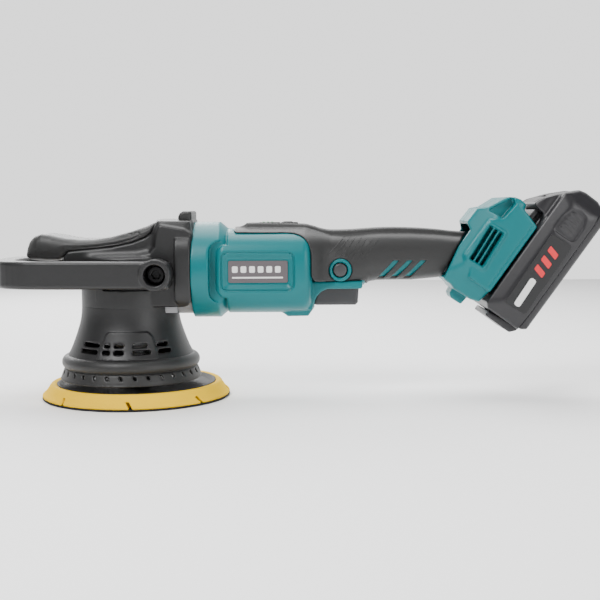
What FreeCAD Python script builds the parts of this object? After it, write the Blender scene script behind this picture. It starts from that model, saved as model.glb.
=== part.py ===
import FreeCAD, Part
import math
import os

import Sketcher
from FreeCAD import Placement, Rotation, Vector

# Cordless dual action polisher.  Millimetres.  The origin is on the drive spindle's axis, in the
# plane of the pad's hook face.  +Z is up, +X points back towards the battery, and -Y is the side
# on the left hand of the person who holds it.

doc = FreeCAD.newDocument("Polisher")
sheet = doc.addObject("Spreadsheet::Sheet", "Sizes")


# ---------------------------------------------------------------- the sheet and its values

class Size:
    """A length or an angle: its value, and the expression that binds it to the sheet."""

    def __init__(self, value, text=None):
        self.value = float(value)
        self.text = text or repr(float(value))

    def join(self, sign, other, value):
        return Size(value, f"({self.text} {sign} {Size.of(other).text})")

    @staticmethod
    def of(value):
        return value if isinstance(value, Size) else Size(value)

    def __add__(self, other):
        return self.join("+", other, self.value + Size.of(other).value)

    def __sub__(self, other):
        return self.join("-", other, self.value - Size.of(other).value)

    def __mul__(self, other):
        return self.join("*", other, self.value * Size.of(other).value)

    def __truediv__(self, other):
        return self.join("/", other, self.value / Size.of(other).value)

    def __radd__(self, other):
        return Size.of(other) + self

    def __rsub__(self, other):
        return Size.of(other) - self

    def __neg__(self):
        return Size(-self.value, f"(0 - {self.text})")


def size(alias, value):
    """Write one driving dimension into the sheet and return it."""
    size.row += 1
    sheet.set(f"A{size.row}", alias)
    sheet.set(f"B{size.row}", str(value))
    sheet.setAlias(f"B{size.row}", alias)
    return Size(value, f"Sizes.{alias}")


size.row = 0

# the pad and its orbit
pad_radius = size("pad_radius", 75)
hook_height = size("hook_height", 1.6)
foam_height = size("foam_height", 12)
orbit = size("orbit_radius", 7.5)
crank_angle = size("crank_angle", 66.4)
# the stack on the spindle, as heights above the hook face
skirt_low = size("skirt_low", 16.5)
skirt_top = size("skirt_top", 24.7)
shroud_low = size("shroud_low", 36)
shroud_top = size("shroud_top", 75)
head_top = size("head_top", 141.6)
# the motor
motor_height = size("motor_height", 102.3)
collar_radius = size("collar_radius", 37.7)
body_radius = size("body_radius", 33.8)
wall = size("wall", 2.6)
# the loop handle
loop_low = size("loop_low", 91)
loop_high = size("loop_high", 111.6)
loop_half_width = size("loop_half_width", 54)
bolt_x = size("bolt_x", 26.7)
bolt_height = size("bolt_height", 100.8)
# the grip, foot and battery
grip_height = size("grip_height", 113.8)
grip_half_width = size("grip_half_width", 20)
foot_half_width = size("foot_half_width", 33)
battery_half_width = size("battery_half_width", 37)
latch_block_half_width = size("latch_block_half_width", 29)
battery_slant = size("battery_slant", 54.5)
battery_x = size("battery_x", 298.8)
battery_z = size("battery_z", 101)
# the controls
lock_height = size("lock_height", 102.2)
# the bevel gears
ring_teeth = size("ring_teeth", 38)
pinion_teeth = size("pinion_teeth", 11)
ring_radius = size("ring_radius", 22)

doc.recompute()

plate_x = orbit.value * math.cos(math.radians(crank_angle.value))
plate_y = orbit.value * math.sin(math.radians(crank_angle.value))
PLATE_X = Size(plate_x, "(Sizes.orbit_radius * cos(Sizes.crank_angle * 1deg))")
PLATE_Y = Size(plate_y, "(Sizes.orbit_radius * sin(Sizes.crank_angle * 1deg))")


# ---------------------------------------------------------------- helpers

TURNS = {
    "Z": Rotation(),
    "X": Rotation(Vector(0, 1, 0), 90),
    "Y": Rotation(Vector(1, 0, 0), -90),
}
SUB_PARTS = []


def bind(thing, prop, value):
    """Set a property, through an expression where its value comes from the sheet."""
    value = Size.of(value)
    if "Sizes." in value.text:
        thing.setExpression(prop, value.text)
    elif prop.startswith("Placement.Base."):
        setattr(thing.Placement.Base, prop[-1], value.value)
        base = Vector(thing.Placement.Base)
        setattr(base, prop[-1], value.value)
        thing.Placement = Placement(base, thing.Placement.Rotation)
    else:
        setattr(thing, prop, value.value)


def place(thing, at, turn=None):
    """Put a shape at a point, turned so that its own Z lies along the wanted direction."""
    rotation = TURNS[turn] if isinstance(turn, str) else (turn or Rotation())
    thing.Placement = Placement(Vector(0, 0, 0), rotation)
    for prop, value in zip(("x", "y", "z"), at):
        bind(thing, f"Placement.Base.{prop}", value)
    return thing


def rod(radius, length, at, axis="Z"):
    thing = doc.addObject("Part::Cylinder", "Rod")
    bind(thing, "Radius", radius)
    bind(thing, "Height", length)
    return place(thing, at, axis)


def taper(radius1, radius2, length, at, axis="Z"):
    thing = doc.addObject("Part::Cone", "Taper")
    bind(thing, "Radius1", radius1)
    bind(thing, "Radius2", radius2)
    bind(thing, "Height", length)
    return place(thing, at, axis)


def block(low, high, turn=None):
    """A box between two corners, or of that size from its first corner if it is turned."""
    thing = doc.addObject("Part::Box", "Block")
    for prop, a, b in zip(("Length", "Width", "Height"), low, high):
        bind(thing, prop, Size.of(b) - Size.of(a))
    return place(thing, low, turn)


def ring(radius, tube, at, axis="Z"):
    thing = doc.addObject("Part::Torus", "Ring")
    bind(thing, "Radius1", radius)
    bind(thing, "Radius2", tube)
    return place(thing, at, axis)


def joined(*things):
    thing = doc.addObject("Part::MultiFuse", "Joined")
    thing.Shapes = list(things)
    return thing


def less(base, *tools):
    thing = doc.addObject("Part::Cut", "Less")
    thing.Base = base
    thing.Tool = tools[0] if len(tools) == 1 else joined(*tools)
    return thing


def shared(base, tool):
    thing = doc.addObject("Part::Common", "Shared")
    thing.Base = base
    thing.Tool = tool
    return thing


def group(*things):
    thing = doc.addObject("Part::Compound", "Group")
    thing.Links = list(things)
    return thing


def tube(outer, inner, length, at, axis="Z"):
    return less(rod(outer, length, at, axis), rod(inner, length, at, axis))


def coil(radius, wire, pitch, turns, at, axis="Z"):
    """A helical spring, swept round a helix that starts at a point."""
    helix = Part.makeHelix(pitch, pitch * turns, radius)
    section = Part.Wire(Part.makeCircle(wire, Vector(radius, 0, 0), Vector(0, 1, 0)))
    thing = doc.addObject("Part::Feature", "Coil")
    thing.Shape = Part.Wire(helix).makePipeShell([section], True, True)
    return place(thing, at, axis)


def rounded(thing, radius, wanted):
    """Round the edges for which wanted(edge) is true."""
    doc.recompute()
    fillet = doc.addObject("Part::Fillet", "Rounded")
    fillet.Base = thing
    fillet.Edges = [(number, radius, radius) for number, edge in enumerate(thing.Shape.Edges, 1)
                    if wanted(edge)]
    return fillet


def origin_plane(body, role):
    return next(f for f in body.Origin.OriginFeatures if f.Role == role)


def sketch(body, name, points, role, arcs=()):
    """A closed outline whose corners are pinned to sheet values, on one origin plane of its body.

    arcs names the corners that are the middle of an arc from the corner before to the one after.
    """
    drawing = body.newObject("Sketcher::SketchObject", name)
    drawing.AttachmentSupport = [(origin_plane(body, role), "")]
    drawing.MapMode = "FlatFace"
    corners = [(Size.of(x), Size.of(y)) for x, y in points]
    count = len(corners)
    for index, (x, y) in enumerate(corners):
        after = corners[(index + 1) % count]
        drawing.addGeometry(Part.LineSegment(Vector(x.value, y.value, 0),
                                             Vector(after[0].value, after[1].value, 0)), False)
    for index in range(count):
        drawing.addConstraint(Sketcher.Constraint("Coincident", index, 2, (index + 1) % count, 1))
    for index, corner in enumerate(corners):
        for kind, value in zip(("DistanceX", "DistanceY"), corner):
            number = drawing.addConstraint(
                Sketcher.Constraint(kind, -1, 1, index, 1, value.value))
            if "Sizes." in value.text:
                drawing.setExpression(f"Constraints[{number}]", value.text)
    return drawing


def slab(points, half_width=None, low=None, high=None, role="XZ_Plane"):
    """An outline made solid: across the middle plane, or between two heights."""
    body = doc.addObject("PartDesign::Body", "Slab")
    drawing = sketch(body, "Outline", points, role)
    pad = body.newObject("PartDesign::Pad", "Pad")
    pad.Profile = drawing
    if half_width is not None:
        bind(pad, "Length", Size.of(half_width) * 2)
        pad.Midplane = True
    else:
        bind(pad, "Length", Size.of(high) - Size.of(low))
        bind(body, "Placement.Base.z", low)
    return body


def turned(points, at=(0, 0, 0), axis="Z"):
    """A profile of (radius, height) corners turned about its own Z axis."""
    body = doc.addObject("PartDesign::Body", "Turned")
    drawing = sketch(body, "Profile", points, "XZ_Plane")
    revolution = body.newObject("PartDesign::Revolution", "Revolution")
    revolution.Profile = drawing
    revolution.ReferenceAxis = (drawing, ["V_Axis"])
    revolution.Angle = 360
    return place(body, at, axis)


def around(count, make, start=0.0):
    """Shapes made at equal angles, in degrees."""
    return [make(start + 360.0 * index / count) for index in range(count)]


def polar(radius, angle):
    return radius * math.cos(math.radians(angle)), radius * math.sin(math.radians(angle))


def sub_part(label, thing):
    thing.Label = label
    SUB_PARTS.append(thing)
    return thing


# ---------------------------------------------------------------- the pad, under the plate

def pad_parts():
    """The backing pad turns on its own axis, which stands off the spindle's axis by the orbit."""
    centre = (PLATE_X, PLATE_Y, 0)
    sub_part("hook_face", rod(pad_radius, hook_height, centre))
    outline = [(9.5, hook_height), (pad_radius, hook_height), (pad_radius, 3.4), (70.8, 4.6),
               (68.9, 6.2), (67.2, 9), (66, 11), (64.6, foam_height), (61, foam_height),
               (57, 7), (9.5, 7)]
    foam = turned(outline, centre)
    notches = around(8, lambda a: block_at(a, 73.5, 5, 4.4, 2.2, 6, centre), -41)
    sub_part("plate_foam", less(foam, *notches))
    hub = [(4.1, 7), (56.6, 7), (60.4, 11.6), (56, 11.6), (50, 9.6), (16, 9.6), (14, 17),
           (4.1, 17)]
    sub_part("plate_hub", turned(hub, centre))
    sub_part("plate_stud", joined(rod(9, 2.4, (PLATE_X, PLATE_Y, 4.4)),
                                  rod(4, 27, (PLATE_X, PLATE_Y, 4.6))))
    shaft = [(4.05, 17), (11, 17), (11, 39), (8, 40), (8, 58.1), (0, 58.1), (0, 33), (4.05, 33)]
    sub_part("pad_spindle", turned(shaft, centre))


def block_at(angle, radius, length, width, low, high, centre=(0, 0, 0)):
    """A box that points outwards at an angle, centred on a radius."""
    x, y = polar(radius - length / 2, angle)
    off_x, off_y = polar(width / 2, angle - 90)
    thing = doc.addObject("Part::Box", "Notch")
    thing.Length, thing.Width, thing.Height = length, width, high - low
    return place(thing, (centre[0] + (x + off_x), centre[1] + (y + off_y), low),
                 Rotation(Vector(0, 0, 1), angle))


# ---------------------------------------------------------------- skirt, bumper and shroud

SHROUD = [(50.3, 36), (48.2, 37.8), (45.8, 42.7), (43.3, 49.2), (40.9, 55.7), (38.6, 62.2)]


def guard_parts():
    """The ribbed guard round the counterweight, its rubber ring and the dust skirt below."""
    thickness = 2.2
    outer = [(r, z if z > 36 else shroud_low) for r, z in SHROUD] + [(38.2, shroud_top)]
    inner = [(36, shroud_top), (36, 69.3), (27, 69.3), (27, 66.9), (36, 66.9), (36.4, 62.2)]
    inner += [(r - thickness, z if z > 36 else shroud_low) for r, z in reversed(SHROUD[:-1])]
    shell = turned(outer + inner)
    ridge = less(shared(turned([(0, 38.4), (49.5, 38.4), (42.6, 56.2), (0, 56.2)]),
                        block((-22, -60, 36), (27, -20, 57))),
                 taper(47.5, 39.8, 20.5, (0, 0, 36.2)))
    slots = []
    for low, high, reach in ((44.8, 49, 5), (39.4, 43.6, 0)):
        for first, last in ((-37, -5), (-1, 20 - reach * 0.2), (23, 34)):
            slots += [block((first, -60, low), (last, -30, high)),
                      block((first, 30, low), (last, 60, high))]
    holes = around(4, lambda a: rod(2.1, 8, (*polar(31, a), 64)), 45)
    notch = block((25.6, -22.4, 69.2), (45, 22.4, 76))
    sub_part("shroud", less(joined(shell, ridge), *slots, *holes, notch))
    bumper = ring(49.2, 5.6, (0, 0, 30.4))
    sub_part("bumper_ring", less(bumper, rod(48.8, 16, (0, 0, 22))))
    skirt = [(56.2, skirt_low), (53, skirt_top), (48.6, skirt_top), (48.6, 35.8), (46.2, 35.8),
             (46.2, 24.2), (51.6, 22.8), (54.2, skirt_low)]
    vents = around(32, lambda a: radial_hole(a, 1.1, 50.5, 6, 22.2))
    sub_part("dust_skirt", less(turned(skirt), *vents))


def radial_hole(angle, radius, start, length, height):
    x, y = polar(start, angle)
    hole = doc.addObject("Part::Cylinder", "Hole")
    hole.Radius, hole.Height = radius, length
    turn = Rotation(Vector(0, 0, 1), Vector(*polar(1, angle), 0))
    return place(hole, (x, y, height), turn)


# ---------------------------------------------------------------- head: gear case and covers

def head_parts():
    """The aluminium gear case, the plastic head cover, the palm grip and the rear bumper."""
    case = joined(rod(33, 35.6, (0, 0, 75.4)), rod(25, 42, (0, 0, 75.4)),
                  block((8, -24, 80), (40, 24, 122)),
                  rod(35, 11.4, (40, 0, motor_height), "X"))
    room = [rod(28.5, 24, (0, 0, 82.5)),
            rod(17, 34, (12, 0, motor_height), "X"),
            rod(6.6, 40, (0, 0, 75)),
            rod(16.02, 8, (0, 0, 75)),
            rod(11.02, 9.2, (0, 0, 106)),
            rod(13.02, 12, (41.5, 0, motor_height), "X"),
            rod(8, 20, (0, 0, 103))]
    bores = [rod(4.1, 70, (bolt_x, -35, bolt_height), "Y")]
    holes = around(4, lambda a: rod(1.7, 20, (*polar(31, a), 74)), 45)
    sub_part("gear_case", less(case, *room, *bores, *holes))
    flange = joined(rod(35.6, 5.8, (0, 0, 69.5)),
                    less(block((26, -22, 69.5), (39.6, 22, 75.2)), rod(30, 10, (0, 0, 68))))
    through = around(4, lambda a: rod(2.1, 8, (*polar(31, a), 68)), 45)
    sub_part("gear_case_cover", less(flange, rod(7, 10, (0, 0, 68)), rod(16.02, 4, (0, 0, 72)),
                                     *through))

    # the head cover: a hollow block with a round nose, slipped over the gear case
    side = [(0, 75.6), (51.6, 75.6), (51.6, head_top), (24, head_top), (24, 132), (4, 125),
            (0, 121)]
    outer = joined(slab(side, 31.2), rod(38, 37.4, (0, 0, 75.6)), rod(28.4, 45, (0, 0, 75.6)))
    inner = joined(rod(33.4, 36.4, (0, 0, 75)), rod(25.4, 42.8, (0, 0, 75)),
                   rod(6.5, 44.4, (0, 0, 75)),
                   block((7.4, -24.6, 75), (52, 24.6, 122.4)),
                   rod(35.4, 12.2, (39.6, 0, motor_height), "X"))
    holes = [rod(4.2, 80, (bolt_x, -40, bolt_height), "Y")]
    sub_part("head_cover", less(outer, inner, *holes))

    grip = [(-81.5, 114.6), (-80.6, 120.1), (-77.2, 126.4), (-72.3, 129.6), (-65.1, 131.6),
            (-48.5, 128.4), (-30, 127), (-15, 128), (4, 133.6), (23.6, head_top), (23.6, 132.4),
            (3.6, 125.4), (-3, 121), (-38.4, 121), (-44, 115.4), (-50, 114.6)]
    half = [(24, 29), (-52, 29), (-66, 25), (-75, 18), (-80, 9), (-81.6, 0)]
    plan = half + [(x, -y) for x, y in reversed(half) if y]
    soft = shared(slab(grip, 30), slab(plan, low=100, high=150, role="XY_Plane"))
    sub_part("palm_grip", soft)
    sub_part("rest_bumper", rounded(
        block((39.8, -17, head_top), (51.6, 17, 147.9)), 3,
        lambda e: e.BoundBox.ZMin > 147 and e.BoundBox.XMax < 41))


# ---------------------------------------------------------------- the loop handle

def loop_parts():
    """A flat loop round the front of the head, bolted to both its sides."""
    def both_sides(half):
        return half + [(x, -Size.of(y)) for x, y in reversed(half) if Size.of(y).value]

    outer = [(39, loop_half_width), (-74, loop_half_width), (-86, 51), (-94, 42), (-100, 26),
             (-103, 10), (-103.5, 0)]
    inner = [(39, 31.6), (22.4, 31.6), (4, 41), (-62, 41), (-74, 37), (-81, 27), (-85, 12),
             (-86, 0)]
    solid = slab(both_sides(outer), low=loop_low, high=loop_high, role="XY_Plane")
    space = slab(both_sides(inner), low=loop_low - 5, high=loop_high + 5, role="XY_Plane")
    body = rounded(less(solid, space), 5, lambda e: loop_rim(e))
    recesses = [rod(8, 17.1, (bolt_x, -54.5, bolt_height), "Y"),
                rod(8, 17.1, (bolt_x, 37.4, bolt_height), "Y"),
                rod(4.1, 120, (bolt_x, -60, bolt_height), "Y")]
    sub_part("loop_handle", less(body, *recesses))
    bolts = []
    for side in (-1, 1):
        head = rod(6.5, 7, (bolt_x, -44.4 if side < 0 else 37.4, bolt_height), "Y")
        shank = rod(4, 24, (bolt_x, -38 if side < 0 else 14, bolt_height), "Y")
        socket = rod(3, 4, (bolt_x, -45 if side < 0 else 41.2, bolt_height), "Y")
        bolts.append(less(joined(head, shank), socket))
    sub_part("loop_handle_bolts", group(*bolts))


def loop_rim(edge):
    """The outer rim's top and bottom edges."""
    box = edge.BoundBox
    if box.ZLength > 0.01:
        return False
    x = (box.XMin + box.XMax) / 2
    y = max(abs(box.YMin), abs(box.YMax))
    return y > 53.9 and box.YLength < 0.01 and x < 0


# ---------------------------------------------------------------- drive inside the head

def bevel_teeth(count, own, cone_long, face, pitch_cone):
    """Straight bevel teeth about +Z with their apex at the origin, as a list of solids.

    Each tooth is narrow for its pitch, so that the pair runs with open backlash.
    """
    root, tip = pitch_cone - 2.9, pitch_cone + 2.3
    half_root, half_tip = 0.2 * 360 / count, 0.13 * 360 / count

    def point(reach, cone, turn):
        across = reach * math.sin(math.radians(cone))
        return Vector(*polar(across, turn), reach * math.cos(math.radians(cone)))

    solids = []
    for index in range(count):
        turn = own + 360.0 * index / count
        wires = []
        for reach in (cone_long, cone_long - face):
            corners = [point(reach, root, turn - half_root), point(reach, root, turn + half_root),
                       point(reach, tip, turn + half_tip), point(reach, tip, turn - half_tip)]
            wires.append(Part.makePolygon(corners + corners[:1]))
        solids.append(Part.makeLoft(wires, True, True))
    return solids


def bevel_gear(name, count, first, pitch_cone, bore, back, placement):
    """A bevel gear as one solid: a cone with its teeth, a flat back and a bore."""
    cone_long = ring_radius.value / math.sin(math.radians(ring_cone()))
    face, dedendum_angle = 7.0, 2.7
    root = math.radians(pitch_cone - dedendum_angle)
    inside, outside = cone_long - face - 0.6, cone_long + 0.2
    low, high = math.cos(root) * outside, math.cos(root) * inside
    profile = [Vector(bore, 0, high), Vector(math.sin(root) * inside, 0, high),
               Vector(math.sin(root) * outside, 0, low),
               Vector(math.sin(root) * outside, 0, low + back), Vector(bore, 0, low + back)]
    blank = Part.Face(Part.makePolygon(profile + profile[:1])).revolve(
        Vector(0, 0, 0), Vector(0, 0, 1), 360)
    gear = blank.fuse(bevel_teeth(count, first, cone_long, face, pitch_cone)).removeSplitter()
    feature = doc.addObject("Part::Feature", "Bevel")
    feature.Shape = gear
    feature.Placement = placement
    return sub_part(name, feature)


def ring_cone():
    return math.degrees(math.atan2(ring_teeth.value, pinion_teeth.value))


def drive_parts():
    """Spindle, bevel ring gear, and the counterweight that carries the eccentric bearings."""
    sub_part("spindle", turned([(0, 61.4), (9, 61.4), (9, 68.8), (6, 69), (6, 105.6), (5, 105.8),
                                (5, 118), (0, 118)]))
    sub_part("spindle_bearings", group(tube(16, 6.04, 9, (0, 0, 72.4)),
                                       tube(11, 5.04, 8.6, (0, 0, 106.2))))
    sub_part("retaining_ring", less(rod(7, 1.1, (0, 0, 116)), rod(5, 2, (0, 0, 115.6)),
                                    block((4, -1.6, 115), (9, 1.6, 118))))
    apex = Vector(0, 0, motor_height.value)
    down = Rotation(Vector(1, 0, 0), 180)
    half_tooth = 180.0 / ring_teeth.value
    bevel_gear("ring_gear", int(ring_teeth.value), half_tooth, ring_cone(), 6.0, 7.5,
               Placement(apex, down))
    bevel_gear("pinion_gear", int(pinion_teeth.value), 0.0, 90 - ring_cone(), 2.5, 4.0,
               Placement(apex, TURNS["X"]))

    # counterweight: bearing housing on the pad's axis, heavy half-disc on the other side
    housing = rod(16.4, 21.4, (PLATE_X, PLATE_Y, 40))
    web = rod(20, 5, (0, 0, 56.4))
    heavy = less(rod(33.5, 15.8, (0, 0, 45.6)),
                 block((-40, -5, 40), (40, 40, 70), None))
    heavy.Placement = Placement(Vector(0, 0, 0), Rotation(Vector(0, 0, 1),
                                                          crank_angle.value - 90))
    bores = [rod(13, 19, (PLATE_X, PLATE_Y, 39.4)), rod(9, 6, (PLATE_X, PLATE_Y, 39.4))]
    sub_part("counterweight", less(joined(housing, web, heavy), *bores))
    sub_part("eccentric_bearings", group(tube(13, 8.04, 7.6, (PLATE_X, PLATE_Y, 41.6)),
                                         tube(13, 8.04, 7.6, (PLATE_X, PLATE_Y, 50.4))))


def head_screws():
    """Four long screws hold the guard and the bearing cover to the gear case."""
    screws = around(4, lambda a: joined(rod(3.4, 3, (*polar(31, a), 63.8)),
                                        rod(1.7, 22, (*polar(31, a), 66))), 45)
    sub_part("head_screws", group(*screws))


# ---------------------------------------------------------------- motor

def motor_parts():
    """Brushless motor: shaft, magnet rotor and fan turn; stator, windings and bracket stay."""
    axis = (0, motor_height)

    def along(radius, start, length):
        return rod(radius, length, (start, *axis), "X")

    sub_part("motor_shaft", joined(along(2.5, 13.4, 14), along(4, 26.8, 119.2)))
    sub_part("rotor_core", less(along(13.4, 88, 34), along(4, 87, 36)))
    sub_part("rotor_magnets", less(along(15.4, 89, 32), along(13.4, 88, 34)))
    blades = []
    for index in range(11):
        blade = doc.addObject("Part::Box", "Blade")
        blade.Length, blade.Width, blade.Height = 8.5, 1.6, 15.5
        turn = Rotation(Vector(1, 0, 0), 360.0 * index / 11)
        offset = turn.multVec(Vector(0, -0.8, 11))
        blades.append(place(blade, (63.2, offset.y, motor_height + offset.z), turn))
    fan = joined(along(12, 62, 10), along(28.5, 71.2, 2), *blades)
    sub_part("cooling_fan", less(fan, along(4, 60, 16)))
    sub_part("motor_bearings", group(
        less(along(13, 41.8, 9), along(4.04, 40, 12)),
        less(along(9.5, 137.4, 7), along(4.04, 136, 9))))
    slots = []
    for index in range(6):
        slot = doc.addObject("Part::Box", "Slot")
        slot.Length, slot.Width, slot.Height = 40, 7, 11.5
        turn = Rotation(Vector(1, 0, 0), 60.0 * index)
        offset = turn.multVec(Vector(0, -3.5, 15))
        slots.append(place(slot, (85, offset.y, motor_height + offset.z), turn))
    sub_part("motor_stator", less(along(30.6, 88, 34), along(16.2, 87, 36), *slots))
    sub_part("stator_windings", group(less(along(28, 82, 5.8), along(18, 81, 8)),
                                      less(along(28, 122.2, 5.8), along(18, 121, 8))))
    bracket = joined(along(30.8, 129, 3), along(10.2, 129, 14.8))
    sub_part("motor_bracket", less(bracket, along(9.5, 137.4, 8), along(6, 128, 18)))


# ---------------------------------------------------------------- casing

def slanted():
    """The frame of the battery seat: its own X runs up the slide, its own Z into the grip."""
    return Rotation(Vector(0, 1, 0), -battery_slant.value)


def seat(thing):
    """Move a shape that was drawn in the battery seat's slanted frame to its place."""
    own = Placement(thing.Placement)
    corner = slanted().multVec(own.Base)
    return place(thing, (battery_x + corner.x, corner.y, battery_z + corner.z),
                 slanted().multiply(own.Rotation))


# corners along the slide and up from the battery seat
FOOT = [(-24, 4.8), (-34, 6.6), (-35.6, 14), (-41.6, 16.4), (-42, 27.6), (-35.4, 30.6),
        (-35, 44), (-15, 46), (5.6, 50), (24.8, 49.6), (30, 44), (44, 36.4), (48, 31.6),
        (48.6, 25), (43, 19.6), (38.4, 4.8)]
FOOT_ROOM = [(-22, 3), (-31, 8.4), (-33, 42), (4, 47), (24, 46.4), (44, 32), (45, 24.6),
             (40.4, 19), (36, 3)]


def casing_solid(foot):
    """The teal moulding's outer form: collar, motor barrel, grip core and battery foot."""
    collar = joined(rod(collar_radius, 20.6, (51.8, 0, motor_height), "X"),
                    taper(collar_radius, body_radius, 5.6, (72.4, 0, motor_height), "X"),
                    rod(body_radius, 66, (78, 0, motor_height), "X"))
    core = slab([(140, 128), (160, 130.8), (200, 132.6), (225, 132.4), (268, 131), (268, 112),
                 (252, 98.4), (243, 97), (224, 95.6), (190, 94.8), (186, 88), (140, 87)],
                grip_half_width - 2)
    core = rounded(core, 11, lambda e: grip_edge(e, 18))
    return joined(collar, core, foot)


def grip_edge(edge, half_width):
    box = edge.BoundBox
    on_side = box.YLength < 0.01 and abs(abs(box.YMin) - half_width) < 0.01
    return on_side and box.ZMin > 130 and box.XMin > 159 and box.XMax < 226


def casing_room():
    """What is hollow inside the moulding."""
    barrel = joined(rod(34.6, 21.4, (51, 0, motor_height), "X"),
                    rod(31, 71.4, (70, 0, motor_height), "X"))
    core = slab([(138, 122), (160, 126), (268, 127), (268, 114), (244, 101), (190, 99.4),
                 (183.4, 92.6), (138, 92)], 15.2)
    foot = seat(slab(FOOT_ROOM, foot_half_width - wall))
    return joined(barrel, core, foot)


def casing_openings():
    """Holes through the wall: trigger, lock button, battery seat and vents."""
    holes = [block((148, -8.4, 80), (184, 8.4, 93)),
             rod(1.52, 30.4, (151.6, -15.2, 90.6), "Y"),
             rod(3.2, 4.8, (151.6, 8.3, 90.6), "Y"),
             rod(5.6, 20, (167, -30, lock_height), "Y"),
             seat(block((-30, -24, 0), (60, 24, 14)))]
    for index in range(3):
        first, height = -11 + index * 1.5, 31.6 - index * 5.2
        holes += [seat(block((first, y, height), (first + 30, y + 12, height + 2.8)))
                  for y in (-42, 30)]
    return holes


def seat_point(along, up):
    """A point of the battery seat's slanted frame, as x and z."""
    point = slanted().multVec(Vector(along, 0, up))
    return battery_x.value + point.x, battery_z.value + point.z


def screw_places():
    """Where the casing screws stand, as x and z: collar, grip and foot."""
    return [(56.2, 132.4), (56.2, 72.2), (150, 121), (188, 122.4), (250, 120.6),
            seat_point(-27, 34), seat_point(30, 38)]


SCREW_SEAT = 8.0


def casing_parts():
    foot = seat(slab(FOOT, foot_half_width))
    form = casing_solid(foot)
    bosses = [shared(rod(3.6, 80, (x, -40, z), "Y"), form) for x, z in screw_places()]
    wells = [rod(2.9, 40, (x, SCREW_SEAT, z), "Y") for x, z in screw_places()]
    wells += [rod(1.45, 30, (x, -12, z), "Y") for x, z in screw_places()]
    rails = [seat(block((-20, y, 5.8), (36, y + 5.4, 8.2))) for y in (-24.2, 18.8)]
    shell = less(joined(less(form, casing_room(), *casing_openings()), *bosses, *rails), *wells)
    halves = {"housing_left": ((40, -60, 20), (400, 0, 180)),
              "housing_right": ((40, 0, 20), (400, 60, 180))}
    for name, (low, high) in halves.items():
        sub_part(name, shared(shell, block(low, high)))

    # the soft overmould: a sleeve on the grip core with a tongue over the motor barrel
    outer = slab([(138.5, 131), (143, 134), (164, 133.4), (200, 135), (223, 134.8), (255, 132),
                  (263, 132), (246, 96), (243, 94.9), (224, 93.2), (190, 92.4), (184, 93.4),
                  (144.6, 97)], grip_half_width)
    outer = rounded(outer, 11, lambda e: sleeve_edge(e, 20))
    core = slab([(130, 128), (160, 131), (200, 132.8), (225, 132.6), (270, 131), (270, 113),
                 (252, 98.2), (243, 96.8), (224, 95.4), (190, 94.6), (186, 90), (130, 90)],
                grip_half_width - 1.8)
    core = rounded(core, 11, lambda e: grip_edge(e, 18.2))
    tongue = less(rod(36.9, 56, (86, 0, motor_height), "X"),
                  block((80, -60, 40), (150, 60, 131.6)),
                  block((102.4, -9.4, 136), (134.6, 9.4, 145)))
    cover = less(joined(tongue, outer), core, foot,
                 rod(body_radius + 0.05, 70, (74.6, 0, motor_height), "X"),
                 rod(9.2, 20, (167, -30, lock_height), "Y"), *wells)
    for name, low, high in (("grip_left", -60, 0), ("grip_right", 0, 60)):
        sub_part(name, shared(cover, block((60, low, 60), (300, high, 180))))

    for name, y in (("name_plate_left", -35.6), ("name_plate_right", 33.6)):
        plate = rounded(block((80.5, y, 95.2), (126.6, y + 2, 112.1)), 2,
                        lambda e: e.BoundBox.YLength > 1.9)
        sub_part(name, less(plate, rod(body_radius, 60, (75, 0, motor_height), "X")))
    screws = [joined(rod(2.8, 2, (x, SCREW_SEAT, z), "Y"),
                     rod(1.4, 18, (x, SCREW_SEAT - 17.9, z), "Y")) for x, z in screw_places()]
    sub_part("housing_screws", group(*screws))


def sleeve_edge(edge, half_width):
    box = edge.BoundBox
    on_side = box.YLength < 0.01 and abs(abs(box.YMin) - half_width) < 0.01
    return on_side and box.ZMin > 132 and box.XMin > 163 and box.XMax < 226


# ---------------------------------------------------------------- controls and electronics

def control_parts():
    """Trigger on its pin, lock button, speed button under a glossy panel, switch and board."""
    trigger = slab([(149, 93), (148.2, 86), (150.6, 76), (153, 75.3), (177, 75.3), (181.4, 77.4),
                    (182.8, 86), (183, 92), (160, 92.6)], 8)
    trigger = less(trigger, rod(1.54, 30, (151.6, -15, 90.6), "Y"),
                   rod(14, 30, (164, -15, 64.4), "Y"))
    sub_part("trigger", trigger)
    sub_part("trigger_pin", rod(1.5, 30.2, (151.6, -15.1, 90.6), "Y"))
    sub_part("trigger_spring", coil(2.4, 0.35, 0.9, 4, (151.6, 9, 90.6), "Y"))
    sub_part("trigger_switch", joined(block((158, -9, 97.6), (184, 9, 118)),
                                      rod(2, 2, (176, 0, 96.2))))
    sub_part("lock_bezel", tube(8.9, 6.2, 2.6, (167, -21, lock_height), "Y"))
    sub_part("lock_button", joined(rod(5.3, 6.2, (167, -22, lock_height), "Y"),
                                   rod(2, 3.3, (167, -15.9, lock_height), "Y")))
    sub_part("lock_spring", coil(2.6, 0.4, 0.95, 3, (167, -12.4, lock_height), "Y"))
    sub_part("control_panel", less(block((102.8, -9, 136.4), (134.2, 9, 139.5)),
                                   rod(body_radius + 0.1, 60, (90, 0, motor_height), "X"),
                                   rod(4.5, 6, (126, 0, 135))))
    sub_part("speed_button", rod(4.2, 2.6, (126, 0, 137.6)))
    sub_part("panel_lenses", group(*[rod(0.9, 0.5, (x, 0, 139.5)) for x in (107, 110.4, 113.8)]))
    sub_part("controller_board", block((193, -13, 104), (246, 13, 105.6)))
    fins = [block((200, y, 108), (240, y + 1.4, 114)) for y in (-11, -6.5, -2, 2.5, 7, 9.6)]
    sub_part("heat_sink", joined(block((200, -11, 105.8), (240, 11, 108.4)), *fins))


# ---------------------------------------------------------------- battery and its seat

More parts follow.
